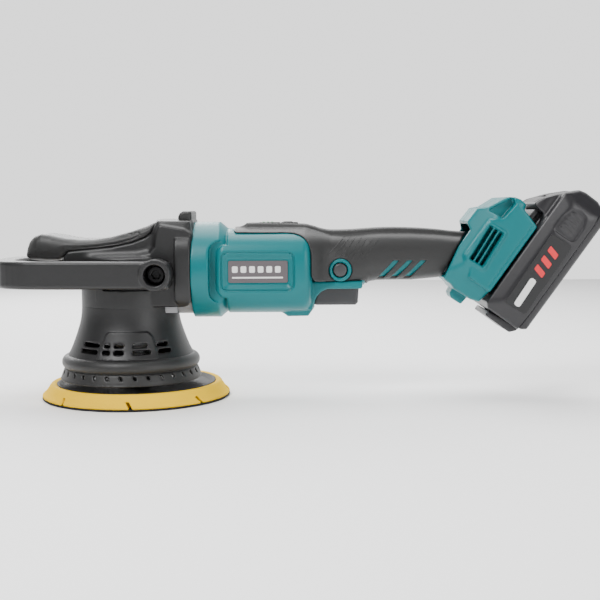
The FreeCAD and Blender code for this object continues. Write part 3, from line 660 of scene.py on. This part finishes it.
# %% Head cover
SHOULDER = [(-47, 100), (-47, 113.5), (-43.6, 118), (-30, 119.4), (-10, 121.2), (6, 124.4),
            (16, 128.2), (21.4, 132), (23.4, 136), (26, 141.2), (51.4, 141.2), (51.4, 100),
            (0, 96)]
FLANK = [(-21.6, 74.8), (46.4, 74.8), (50.2, 76.4), (52, 80.4), (52, 131), (46, 134.4),
         (28, 137.6), (26, 132), (24.6, 121), (20.6, 116), (10, 114), (-21.6, 113)]


def cover_field(x, y, z):
    ay = np.abs(y)
    ring = np.hypot(y, z - MOTOR_Z)
    nose = slab(np.hypot(x, y) - 38.2, z - 93, 20.0, 1.2)
    step = slab(np.hypot(x, y) - 37.0, z - 73.5, 3.2, 0.6)
    flank = slab(outline(x, z, FLANK, 2.0), y, 31.2, 1.4)
    lower = slab(outline(x, z, [(-21.6, 75.2), (51.8, 75.2), (51.8, 100), (-21.6, 100)], 6.6), y,
                 32.0, 1.2)
    shoulder = slab(outline(x, z, SHOULDER, 2.0), y, 27.6, 2.0)
    band = slab(outline(x, z, [(39.6, 75.2), (51.8, 75.2), (51.8, 131.4), (39.6, 133.6)], 5.5), y,
                40, 0.5)
    band = both(band, oval(y, z - MOTOR_Z, 36.9, 31.4, 4.2) * 31.4, 1.2)
    top = slab(outline(x, z, [(25.4, 120), (25.4, 141.4), (51.8, 141.4), (51.8, 120)], 1.2), y, 20,
               3.0)
    body = join(join(nose, flank, 1.0), lower, 0.6)
    body = join(body, shoulder, 7.0)
    body = join(join(body, top, 5.0), band, 0.5)
    body = join(body, step, 0.4)
    pocket = slab(outline(x, z, [(-15, 89.6), (21, 89.6), (21, 88.4), (-15, 88.4)]), y, 60, 0.3)
    body = carve(body, pocket, 31.0 - ay, 0.4)
    inner = meet(np.hypot(x, y) - 33.4, z - 111.5)
    inner = np.minimum(inner, meet(np.hypot(x, y) - 25.4, z - 118))
    inner = np.minimum(inner, meet(ay - 24.6, 7.4 - x, z - 122.6))
    inner = meet(inner, 60 - z)
    room = np.minimum(inner, meet(ring - 35.3, 39.5 - x))
    return cut(body, room, 0.5)


moulding("head_shell", cover_field, (-50, -40, 68), (54, 40, 144), NYLON, "root", ["head_cover"])

# %% Palm grip
PALM = [(-81.6, 112.4), (-81.2, 116), (-79.2, 121), (-75.6, 126), (-71, 129.6), (-65, 131.4),
        (-57.6, 130.8), (-46, 128.2), (-35, 127.1), (-24, 127.2), (-10, 129.2), (6, 133.6),
        (17, 137.2), (24.6, 140.8), (27, 141), (24.4, 136.6), (21.4, 131.4), (17.4, 127.8),
        (6, 123.2), (-10, 120.2), (-30, 118.6), (-43.6, 117), (-47.4, 113.2), (-51, 111),
        (-60, 110.6), (-76, 111)]
PALM_PLAN = [(-82, 0), (-80.6, 10), (-76, 19), (-68, 25.6), (-56, 28.4), (-30, 28), (0, 27.4),
             (28, 26.6), (28, -26.6), (0, -27.4), (-30, -28), (-56, -28.4), (-68, -25.6), (-76, -19),
             (-80.6, -10)]
INLAY = [(-40, 120.4), (-20, 122.0), (-4, 124.3), (8, 127.8), (12.6, 130.6), (11, 132.4),
         (4, 130.8)]


def palm_field(x, y, z):
    low = slab(outline(x, z, PALM, 1.2), y, 28.8, 3.0)
    upper = slab(outline(x, z, PALM, 1.2), y, 29.6, 10.0)
    low_z = along(x, [(-90, 110.6), (-50, 111), (-43, 117), (-10, 120.2), (6, 123.2), (30, 137)])
    share = np.clip((z - low_z - 2) / 6, 0, 1)
    side = low * (1 - share) + upper * share
    body = both(side, outline(x, y, PALM_PLAN) - 1.2, 8.0)
    seam = meet(line(x, z, INLAY) - 0.4, 14 - np.abs(y))
    return carve(body, seam, -(body + 0.6), 0.35)


moulding("palm_pad", palm_field, (-84, -31, 108), (30, 31, 143), RUBBER, "root", ["palm_grip"],
         0.8)


# %% Rest bumper
def rest_field(x, y, z):
    flat = outline(x, z, [(41.2, 136), (41.2, 144.4), (42.6, 147.2), (45, 148.6), (50.8, 148.6),
                          (51.8, 147.4), (51.8, 136)], 1.0)
    return slab(flat, y, 20.6, 2.4)


moulding("rest_block", rest_field, (37, -22, 134), (54, 22, 150), RUBBER, "root",
         ["rest_bumper"], 0.6)

# %% [markdown]
# ## The loop handle
# A flat nylon hoop runs round the front of the head.  It is a constant oval section along a smooth
# path, thicker at the front bar, with a round boss and a deep bolt well at each end.

# %% Loop handle
HOOP = smooth_through([(30, 47.4), (0, 47.4), (-40, 47.6), (-60, 47.4), (-74, 45), (-84.5, 38.5),
                       (-91, 27), (-94.4, 13), (-95.2, 0)], 3)
HOOP_Z = 101.2
BOLT_X, BOLT_Z = 26.7, 100.8


def hoop_field(x, y, z):
    ay = np.abs(y)
    flat = line(x, ay, HOOP) - along(x, [(-110, 8.3), (-92, 8.2), (-80, 7.2), (-50, 6.7), (40, 6.7)])
    tilt = (x + 100) * 0.011
    hoop = slab(flat, z - HOOP_Z + tilt * 0.5, 10.5, 2.6)
    root = slab(outline(x, ay, [(-2, 46), (10, 38.4), (22, 31.6), (38, 31.6), (38, 50), (0, 50)],
                        2.0), z - HOOP_Z + 0.4 + tilt * 0.5, 10.0, 2.0)
    hoop = join(hoop, root, 2.0)
    hoop = both(hoop, x - 37.6, 3.0)
    around = np.hypot(x - BOLT_X, z - BOLT_Z)
    boss = slab(around - 12.0, ay - 44.2, 10.8, 1.0)
    hoop = join(hoop, boss, 1.0)
    ledge = np.abs(around - 10.2) - 0.25
    hoop = carve(hoop, ledge, 54.6 - ay, 0.3)
    return carve(hoop, around - 8.1, 37.6 - ay, 0.9)


moulding("hoop", hoop_field, (-106, -58, 87), (42, 58, 116), NYLON, "root", ["loop_handle"])


# %% Loop bolts
def hex_bolt(side):
    """A socket-head bolt: a turned head with a six-sided well."""
    def bolt_field(x, y, z):
        dx, dz, out = x - BOLT_X, z - BOLT_Z, side * y
        r = np.hypot(dx, dz)
        head = slab(r - 6.5, out - 41, 3.4, 0.5)
        shank = slab(r - 4, out - 27, 12, 0.4)
        hexagon = meet(np.abs(dz), np.abs(dz * 0.5 + dx * 0.866),
                       np.abs(dz * 0.5 - dx * 0.866)) - 3.0
        return carve(join(head, shank, 0.3), hexagon, 41.5 - out, 0.3)
    return net(bolt_field, (19, min(side * 14, side * 46), 92), (35, max(side * 14, side * 46), 110),
               0.5)


(left_points, left_faces), (right_points, right_faces) = hex_bolt(-1), hex_bolt(1)
piece("hoop_bolts", np.vstack([left_points, right_points]),
      np.vstack([left_faces, right_faces + len(left_points)]), BLACK_STEEL, "root",
      ["loop_handle_bolts"])

# %% [markdown]
# ## The casing
# Two teal ABS shells make the motor barrel, the core of the grip and the battery foot.  The barrel
# is a rounded square, so that its flanks are nearly flat for the badge, and the collar in front is
# round.  A deep channel shaped like a C parts the flank from the collar.

# %% Casing shape
BARREL_Z = 101.3
CORE_HALF, UNDER_RUBBER = 18.9, 1.0
GRIP_TOP = [(136, 139), (144.6, 137), (152, 134.7), (160, 133.4), (176, 133.6), (200, 135),
            (223, 134.8), (243, 133.5), (256, 132), (270, 131)]
GRIP_LOW = [(136, 87), (150, 87), (180, 87), (185.5, 88), (190, 91.9), (196, 93), (210, 93.2),
            (224, 93.2), (243, 94.9), (252, 96.2), (270, 98)]
FOOT_OUT = [(5.7, 50), (24.8, 49.2), (30.4, 43.4), (43.4, 37.4), (47.2, 32.4), (48.6, 27),
            (48, 21.5), (42.6, 19.4), (38.4, 4.8), (-24, 4.8), (-33.6, 5.6), (-35.8, 12),
            (-36.6, 27.6), (-35.2, 31), (-34.6, 43), (-15, 46.5), (-4, 49)]
REGION = smooth_through([(86, 131.5), (110, 131.3), (127, 131.3), (136, 129), (142, 123.4),
                         (144.3, 115), (144.5, 104), (144.7, 98)], 4).tolist()
REGION = REGION + [[146.6, 94.4], [150, 93.8], [186.4, 93.8], [190, 86], [253, 86], [247, 96],
                   [252.5, 108], [258.5, 120], [267.5, 133], [262, 150], [84, 150], [84.4, 133]]
STRIPES = [(198.4, 210.6), (208.4, 221.4), (218.8, 231.8)]


def overmould_body(x, ay, z):
    """The hand's outer shape: the barrel's back runs into the grip in one smooth saddle."""
    half = along(x, [(80, 36), (132, 36), (141, 35), (148, 31.4), (155, 26.2), (162, 22.4),
                     (170, 20.6), (180, 20.2), (280, 20.2)])
    low = np.interp(x, [80, 140, 152, 166, 186, 190, 196, 210, 224, 243, 252, 270],
                    [66.6, 66.6, 72, 82, 88, 91.9, 93, 93.2, 93.2, 94.9, 96.2, 98])
    crown = np.interp(x, [80, 140, 150, 160, 176, 200, 223, 243, 256, 270],
                      [136, 135.6, 133, 131, 131.2, 132.6, 132.4, 131.1, 129.6, 128.6])
    middle, height = (crown + low) / 2, (crown - low) / 2
    body = oval(ay, z - middle, half, height, 2.7) * np.minimum(half, height) * 0.95
    top = along(x, [(80, 131), (84.6, 134.6), (88, 135.6), (93, 138.2), (98, 139.2), (135, 138.4),
                    (144, 137.2), (152, 134.8), *GRIP_TOP[3:]])
    ridge = slab(ay - 12.0, z - (top + 110) / 2, (top - 110) / 2, 2.4)
    return join(body, meet(ridge, 82 - x), 2.4)


def grip_core(x, y, z):
    """The casing inside the rubber: an oval with a raised spine along its top."""
    top, low = along(x, GRIP_TOP) - UNDER_RUBBER, along(x, GRIP_LOW) + UNDER_RUBBER
    lowered = top - 2.4
    middle, height = (lowered + low) / 2, (lowered - low) / 2
    body = oval(y, z - middle, CORE_HALF, height, 2.7) * CORE_HALF * 0.92
    spine = slab(np.abs(y) - 11.4 + UNDER_RUBBER, z - (top + 110) / 2, (top - 110) / 2, 2.6)
    return join(body, spine, 2.2)


def casing_form(x, y, z):
    ay = np.abs(y)
    ring = np.hypot(y, z - 102.1)
    collar = outline(x, ring, [(51.9, -5), (51.9, 37.8), (73, 37.8), (78.6, 33.0), (90, 30),
                               (90, -5)], 0.9)
    notch = slab(outline(x, z, [(65.6, 77.8), (65.6, 125.4), (100, 125.4), (100, 77.8)], 8.5), y, 60, 0)
    collar = carve(collar, notch, 27.5 - ay, 1.2)
    barrel = slab(oval(y, z - BARREL_Z, 34.7, 33.2, 2.8) * 33.2, x - 107.6, 37.4, 7.0)
    shoulder = outline(x, z, [(71.2, 81.6), (71.2, 122.6), (160, 122.6), (160, 81.6)], 8.0)
    front = meet(x - 79.5, -shoulder)
    barrel = cut(barrel, front, 1.2)
    recess = rect(x, z, 103.1, LOCK_Z, 28.7, 15.4, 6.0)
    floor = 30.8 + 0.6 * np.clip(recess + 5.2, 0, 9)
    barrel = carve(barrel, recess, floor - ay, 0.4)
    rim = meet(np.abs(recess + 0.9) - 0.5, 32.0 - ay)
    barrel = cut(barrel, rim, 0.3)
    heel = slab(outline(x, z, [(121.8, 68.6), (125.9, 65.4), (142.2, 65.6), (147, 72.5),
                               (147.4, 92), (121, 92)], 1.4), y, 15, 3)
    body = join(join(collar, barrel, 0.6), heel, 1.5)
    lip = slab(outline(x, z, [(138, 71), (145.2, 71), (146.6, 76.6), (149, 81.8), (152.4, 85.4),
                              (157, 87.4), (183.6, 87.4), (184.6, 89), (184.2, 93.2),
                              (138, 93.2)], 0.8), y, 19.6, 1.2)
    core = both(grip_core(x, y, z), meet(138 - x, x - 272), 1)
    return join(body, join(core, lip, 0.8), 1.2)


def foot_form(x, y, z):
    u, w = seat_frame(x, z)
    ay = np.abs(y)
    slope_w = 0.8
    body = slab(outline(u, w, FOOT_OUT, 1.8), y, 33, 3.4)
    body = both(body, (ay - 33 + (w - 34) * slope_w) / math.hypot(1, slope_w), 2.0)
    body = both(body, (ay - 33 - (u + 18) * 0.5) / math.hypot(1, 0.5), 3.0)
    plate = slab(outline(u, w, [(38.6, 4.8), (-23, 4.8), (-23, 25), (-15.5, 29), (-15.5, 34),
                                (-11, 38), (22.5, 38), (26.5, 31), (45, 27.4), (43, 19)], 1.5),
                 ay - 24, 9.6, 1.6)
    foot = join(body, plate, 1.2)
    tab = slab(outline(u, w, [(-43, 13.8), (-43.2, 23.4), (-41, 26.4), (-32, 27.6), (-32, 12.8)],
                       1.5), y, 12, 2)
    foot = join(foot, tab, 1.0)
    tilt = math.radians(4)
    pu = (u - 4.3) * math.cos(tilt) + (w - 28) * math.sin(tilt)
    pw = -(u - 4.3) * math.sin(tilt) + (w - 28) * math.cos(tilt)
    rim = slab(rect(pu, pw, 0, 0, 17.6, 8.8, 2.6), ay - 26, 9.0, 1.6)
    foot = join(foot, rim, 0.8)
    foot = carve(foot, rect(pu, pw, 0, 0, 15.4, 6.6, 1.0), 33.4 - ay, 0.5)
    for offset in (-4.3, 0.0, 4.3):
        slot = rect(pu, pw, 0, offset, 14.6, 1.5, 0.5)
        foot = carve(foot, slot, 24 - ay, 0.4)
    facet = outline(u, w, [(28, 42), (46.6, 33.2), (43.4, 28.6), (28.5, 30.0)], 1.2)
    foot = carve(foot, facet, 25.4 - ay, 1.4)
    groove = meet(np.abs(w - 8.6) - 0.35, -(u + 20), u - 37)
    return carve(foot, groove, 32.9 - ay, 0.3)


def casing_field(x, y, z):
    form = join(casing_form(x, y, z), foot_form(x, y, z), 2.0)
    shell = hollow(form, 2.5)
    u, w = seat_frame(x, z)
    ay = np.abs(y)
    channel = meet(-30 - u, np.abs(w - 7) - 7, ay - 24)
    shell = cut(shell, channel, 0.5)
    rails = slab(rect(u, w, 8, 7, 28, 1.2, 0.4), ay - 21.6, 2.7, 0.4)
    shell = join(shell, rails, 0.3)
    trigger = meet(np.abs(x - 164.6) - 19.6, ay - 8.6, z - 94)
    shell = cut(shell, trigger, 0.4)
    button = meet(np.hypot(x - LOCK_X, z - LOCK_Z) - 5.7, y + 8)
    shell = cut(shell, button, 0.4)
    above = meet(outline(x, z, REGION, 0.8) - 0.1, -(overmould_body(x, ay, z) + 1.4))
    shell = cut(shell, above, 0.2)
    mouth = meet(np.hypot(y, z - MOTOR_Z) - 34.9, x - 56)
    return cut(shell, mouth, 0.4)


halves("casing", casing_field, (49, -42, 40), (345, 42, 164), TEAL,
       ["housing_left", "housing_right"], 0.95)

# %% [markdown]
# ## The soft overmould
# Black rubber is moulded over the grip and runs forward as a tongue on top of the barrel.  It is
# bounded by one smooth line on the flank, and three slanted slots let the teal core show through.

# %% Overmould
def overmould_field(x, y, z):
    ay = np.abs(y)
    body = overmould_body(x, ay, z)
    body = both(body, outline(x, z, REGION, 0.8), 0.9)
    body = carve(body, rect(x, ay, STRIP_X, 0, 16.2, 9.6, 1.5), 136.2 - z, 0.4)
    for low, high in STRIPES:
        lean = (x - low) - (z - 95.2) * (high - low) / 13.9
        stripe = meet(np.abs(lean) * 0.76 - 1.7, np.abs(z - 102.2) - 7.2)
        body = carve(body, stripe, 12 - ay, 0.5)
    well = meet(np.hypot(x - LOCK_X, z - LOCK_Z) - 9.1, y + 8)
    body = cut(body, well, 0.5)
    # the pulled trigger swings up into this room
    room = meet(np.abs(x - 165.6) - 18.8, ay - 8.9, z - 99.5)
    return cut(body, room, 0.4)


halves("overmould", overmould_field, (82, -40, 84), (272, 40, 142), RUBBER,
       ["grip_left", "grip_right"])

# %% Fine ribs where the thumb rests
def tube(path, radius, sides=10):
    """A round cord along a path of points, closed at both ends."""
    path = np.array(path, float)
    ahead = np.gradient(path, axis=0)
    ahead /= np.linalg.norm(ahead, axis=1)[:, None]
    across = np.cross(ahead, [0.3, 1.0, 0.2])
    across /= np.linalg.norm(across, axis=1)[:, None]
    over = np.cross(ahead, across)
    taper = np.minimum(1, 0.25 + np.minimum(np.arange(len(path)), np.arange(len(path))[::-1]) / 3)
    points = []
    for centre, a, b, t in zip(path, across, over, taper):
        for angle in np.linspace(0, 2 * math.pi, sides, endpoint=False):
            points.append(centre + radius * t * (a * math.cos(angle) + b * math.sin(angle)))
    faces = [[i * sides + j, i * sides + (j + 1) % sides, (i + 1) * sides + (j + 1) % sides,
              (i + 1) * sides + j] for i in range(len(path) - 1) for j in range(sides)]
    points += [path[0], path[-1]]
    last = (len(path) - 1) * sides
    for j in range(sides):
        k = (j + 1) % sides
        faces.append([len(points) - 2, k, j])
        faces.append([len(points) - 1, last + j, last + k])
    return np.array(points), faces


def on_flank(field, x, z, side, near=6.0, far=42.0):
    """Where a line along Y meets a surface: halving the span again and again."""
    for _ in range(18):  # the span then is far below a thousandth of a millimetre
        middle = (near + far) / 2
        inside = field(np.array([x]), np.array([side * middle]), np.array([z]))[0] < 0
        near, far = (middle, far) if inside else (near, middle)
    return side * near


RIBS, RIB_PITCH, RIB_RUN, RIB_POINTS = 7, 4.6, 14.5, 13
ribs = []
for side in (-1, 1):
    for n in range(RIBS):
        across = 156.5 + RIB_PITCH * n + np.linspace(0, 1, RIB_POINTS) * RIB_RUN
        height = np.linspace(108.6 + max(0, 3 - n) * 1.5, 128.4, RIB_POINTS)
        ribs.append(tube([(x, on_flank(overmould_field, x, z, side) - side * 0.15, z)
                          for x, z in zip(across, height)], 0.42))
plate_piece("thumb_ribs", ribs, RUBBER, "root", [])

# %% [markdown]
# ## Controls and badges
# The lock button sits in a teal ring, the trigger hangs in its opening, and the speed button and
# its lights are on a glossy strip on top.  The badge is a blank printed plate.


# %% Trigger
def trigger_field(x, y, z):
    flat = outline(x, z, [(152.6, 93), (150.4, 88), (148.2, 82), (146.4, 77), (145.8, 74.4),
                          (149, 73.6), (179.6, 73.6), (181.6, 75.5), (182.2, 85), (182.8, 92)], 1.0)
    body = slab(flat, y, 8.2, 2.4)
    pin = np.hypot(x - TRIGGER_PIN[0], z - TRIGGER_PIN[1]) - 1.6
    return cut(body, pin, 0.2)


moulding("trigger_lever", trigger_field, (146, -10, 73), (186, 10, 95), GREY, "trigger",
         ["trigger"], 0.55)

# %% Lock button and its ring
bezel = rounded_profile([(6.0, -2), (8.95, -2), (8.95, 2.2), (8.2, 3.1), (6.9, 3.1), (6.0, 2.2)], 0.6)
lathe("lock_ring", bezel, LOCK_AT, "-Y", TEAL, "root", ["lock_bezel"],
      96)
button = rounded_profile([(0, -4), (5.3, -4), (5.3, 2.4), (4.4, 3.1), (0, 3.4)], 0.7)
lathe("lock_cap", button, LOCK_AT, "-Y", GREY, "lock_button", ["lock_button"],
      96)


# %% Badge plates
def box_outline(u0, u1, v0, v1):
    return [(u0, v0), (u1, v0), (u1, v1), (u0, v1)]


for side, word in ((-1, "left"), (1, "right")):
    plate_piece(f"badge_{word}", [prism(box_outline(80.5, 126.4, 93.4, 110.4), 1.6, side * 29.8,
                                        side * 31.8)],
                BADGE, "root", [f"name_plate_{word}"])
    marks = [prism(box_outline(83.5 + 6.6 * n, 87.9 + 6.6 * n, 101.2, 106.2), 1.2, side * 31.5,
                   side * 32.0, 0.1) for n in range(6)]
    marks.append(prism(box_outline(83.5, 122.6, 96.8, 98.0), 0.5, side * 31.5, side * 32.0, 0.1))
    plate_piece(f"badge_marks_{word}", marks, PALE_INK, "root", [])


# %% Control strip
def strip_field(x, y, z):
    body = slab(rect(x, y, STRIP_X, 0, 15.8, 9.1, 1.6), z - 137.2, 2.4, 0.7)
    split = meet(np.abs(x - 120.7) - 0.35, 139.0 - z)
    hole = np.hypot(x - SPEED_X, y) - 4.5
    return cut(cut(body, split, 0.2), hole, 0.3)


moulding("control_strip", strip_field, (101, -11, 133), (136, 11, 141), GLOSS, "root",
         ["control_panel"], 0.5)
cap = rounded_profile([(0, 137.6), (4.2, 137.6), (4.2, 139.7), (3.6, 140.2), (0, 140.0)], 0.4)
lathe("speed_cap", cap, (SPEED_X, 0, 0), "Z", GREY, "speed_button", ["speed_button"],
      64)

# %% [markdown]
# ## The battery
# A slide-on pack: a case with a chamfer along each flank, a deeper base, a nose that closes the
# foot's open end, ribbed finger grips and a release latch.

# %% Battery case
CASE = [(-33.8, -1), (-30, 2.4), (45.4, 4.0), (50.2, 6.5), (51.4, 15.6), (53.4, 16.4), (58.6, 14),
        (71, 3.8), (81.0, -6.4), (82.4, -12), (82.0, -23.4), (78.6, -30), (78.6, -50), (-33.8, -50)]
BEVEL, END_SLOPE, TIP_SLOPE, LOW_SLOPE = 0.42, 0.5, 0.7, 0.45


def case_sides(u, w, ay):
    """How the pack's flanks lean: a long bevel above, and a turn-in at each end."""
    bevel = (ay - PACK_HALF + (w + 6.6) * BEVEL) / math.hypot(1, BEVEL)
    start = (ay - PACK_HALF - (u + 25) * END_SLOPE) / math.hypot(1, END_SLOPE)
    tip = (ay - PACK_HALF + (u - 68) * TIP_SLOPE) / math.hypot(1, TIP_SLOPE)
    low = (ay - PACK_HALF - (w + 27) * LOW_SLOPE) / math.hypot(1, LOW_SLOPE)
    return bevel, start, tip, low


def case_field(x, y, z):
    u, w = seat_frame(x, z)
    ay = np.abs(y)
    bevel, start, tip, low = case_sides(u, w, ay)
    body = slab(outline(u, w, CASE, 1.6), y, PACK_HALF, 1.0)
    body = both(both(both(body, bevel, 1.0), start, 3.0), tip, 3.0)
    body = both(body, low, 3.0)
    body = both(body, join(w - 3.2, ay - 29.5, 3.0), 1.2)
    shell = hollow(body, 2.4)
    shell = both(shell, -29.4 - w, 0.2)
    tower = slab(rect(u, w, 12.5, 7.6, 37.5, 5.0, 0.8), y, 22, 0.6)
    for side in (-1, 1):
        groove = rect(u, w, 15, 7, 45, 1.6, 0.3)
        slot = rect(u, y, 2, side * 12, 36, 2.4, 0.4)
        tower = carve(carve(tower, groove, 18.6 - side * y, 0.3), slot, 3.4 - w, 0.3)
    shell = join(shell, tower, 0.4)
    pad = outline(u, w, [(43.4, -5.0), (57, -5.6), (64, -8.6), (67.2, -14.6), (64.6, -21),
                         (58, -23.8), (43.8, -23.8)], 3.4)
    shell = carve(shell, pad, 36.2 - ay, 0.5)
    ribs = np.abs(((u - 0.12 * w + 0.6) / 3.7) % 1 - 0.5) * 3.7 - 0.85
    patch = outline(u, w, [(46, -8), (63, -9), (64.5, -18), (46.5, -21)], 2.5)
    shell = join(shell, meet(ribs, patch, ay - PACK_HALF, 35.4 - ay), 0.5)
    shell = carve(shell, rect(u, y, 77.4, 0, 14.0, 13.2, 1.0), np.abs(w + 4) - 13, 0.5)
    for centre in (57.5, 66.5):
        shell = carve(shell, rect(u, ay, centre, 22, 3.4, 1.3, 0.6), 2 - w, 0.3)
    return shell


moulding("pack_case", case_field, (255, -39, 50), (378, 39, 172), SHELL, "battery",
         ["battery_top_case"])


# %% Battery base
BASE_OUT = [(-32.4, -20), (-32.4, -31.5), (-29.6, -35.6), (69.4, -35.6), (72.6, -34.6),
            (73.4, -29.9), (73.4, -20)]


def base_field(x, y, z):
    u, w = seat_frame(x, z)
    ay = np.abs(y)
    _, start, _, low = case_sides(u, w, ay)
    body = slab(outline(u, w, BASE_OUT, 1.4), y, PACK_HALF, 1.0)
    body = both(both(body, low, 3.0), start, 3.0)
    shell = both(hollow(body, 2.4), w + 29.5, 0.2)
    foot = slab(outline(u, w, [(-39, -4), (-39.2, -27), (-35.2, -30.6), (-31, -31.7), (-34.9, -4)],
                        0.6), y, 26, 1.0)
    return join(shell, foot, 0.8)


moulding("pack_base", base_field, (250, -39, 44), (376, 39, 146), SHELL, "battery",
         ["battery_bottom_case"])


# %% Battery side panels and marks
def on_seat(vertices):
    """Points (u, y, w) of the slanted frame as points of the row's frame."""
    u, y, w = vertices.T
    return np.stack([SEAT_X + u * math.cos(SLANT) - w * math.sin(SLANT), y,
                     SEAT_Z + u * math.sin(SLANT) + w * math.cos(SLANT)], 1)


PANEL = [(-22.6, -8.0), (40.4, -6.2), (41.2, -25.2), (-21.6, -26.4)]
plate_piece("pack_panels", [prism(PANEL, 2.0, side * 34.8, side * 37.25, 0.2, on_seat)
                            for side in (-1, 1)],
            SHELL_DARK, "battery", ["battery_side_panels"])
bars = [prism([(first, -20.2), (first + 4.6, -20.2), (first + 7.0, -11.2), (first + 2.4, -11.2)],
              1.0, side * 37.0, side * 37.5, 0.1, on_seat)
        for side in (-1, 1) for first in (8.5, 17.0, 25.5)]
plate_piece("red_bars", bars, RED_INK, "battery", [])
pills = [prism([(-19.8, -19.4), (4.6, -18.4), (4.6, -13.2), (-19.8, -14.2)], 2.4, side * 37.0,
               side * 37.5, 0.1, on_seat) for side in (-1, 1)]
plate_piece("white_pill", pills, PALE_INK, "battery", [])


# %% Battery latch
def latch_field(x, y, z):
    u, w = seat_frame(x, z)
    body = slab(outline(u, w, [(66.8, 6.4), (70.4, 4.0), (81.0, -6.8), (82.2, -11.6), (82, -15.4),
                               (66.8, -15.4)], 1.0), y, 12.6, 1.2)
    ribs = np.abs((w / 2.6) % 1 - 0.5) * 2.6 - 0.5
    ribs = meet(ribs, 79 - u, np.abs(y) - 9)
    inside = meet(rect(u, w, 67, -9, 7, 5.4, 0.5), np.abs(y) - 9)
    return cut(cut(body, ribs, 0.3), inside, 0.4)


moulding("release_latch", latch_field, (330, -14, 140), (362, 14, 178), SHELL, "battery_latch",
         ["battery_latch"], 0.6)

# %% [markdown]
# ## Working parts that stay
# The design's own solids are right for what is inside, so they only get their finish.

# %% Finishes of the design's own parts
INSIDE = {
    STEEL: ["plate_stud", "pad_spindle", "spindle", "spindle_bearings", "head_screws", "ring_gear",
            "eccentric_bearings", "pinion_gear", "motor_shaft", "rotor_core", "motor_bearings",
            "motor_stator", "housing_screws", "trigger_pin", "trigger_spring", "lock_spring",
            "battery_latch_spring"],
    CAST: ["gear_case", "gear_case_cover", "counterweight", "heat_sink"],
    BLACK_STEEL: ["retaining_ring"],
    MAGNET: ["rotor_magnets"],
    COPPER: ["stator_windings", "terminal_blades", "battery_contacts"],
    NYLON: ["cooling_fan", "motor_bracket", "trigger_switch", "terminal_block"],
    BOARD: ["controller_board"],
    LENS: ["panel_lenses"],
    CELL: ["battery_cells"],
}
for material, names in INSIDE.items():
    for name in names:
        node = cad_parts[name]
        node.data.materials.clear()
        node.data.materials.append(material)
print("kept", sum(len(names) for names in INSIDE.values()), "design parts")

# %% [markdown]
# ## Floor
# A wide pale plane carries the soft shadow.

# %% Floor
floor_mesh = bpy.data.meshes.new("floor")
floor_mesh.from_pydata([(-4, -4, 0), (4, -4, 0), (4, 1.3, 0), (-4, 1.3, 0)], [], [(0, 1, 2, 3)])
floor_mesh.materials.append(finish("pale paper", "#f6f6f6", 0.9, 3.0, 0.01, mottle=0.005))
floor = bpy.data.objects.new("floor", floor_mesh)
bpy.context.scene.collection.objects.link(floor)
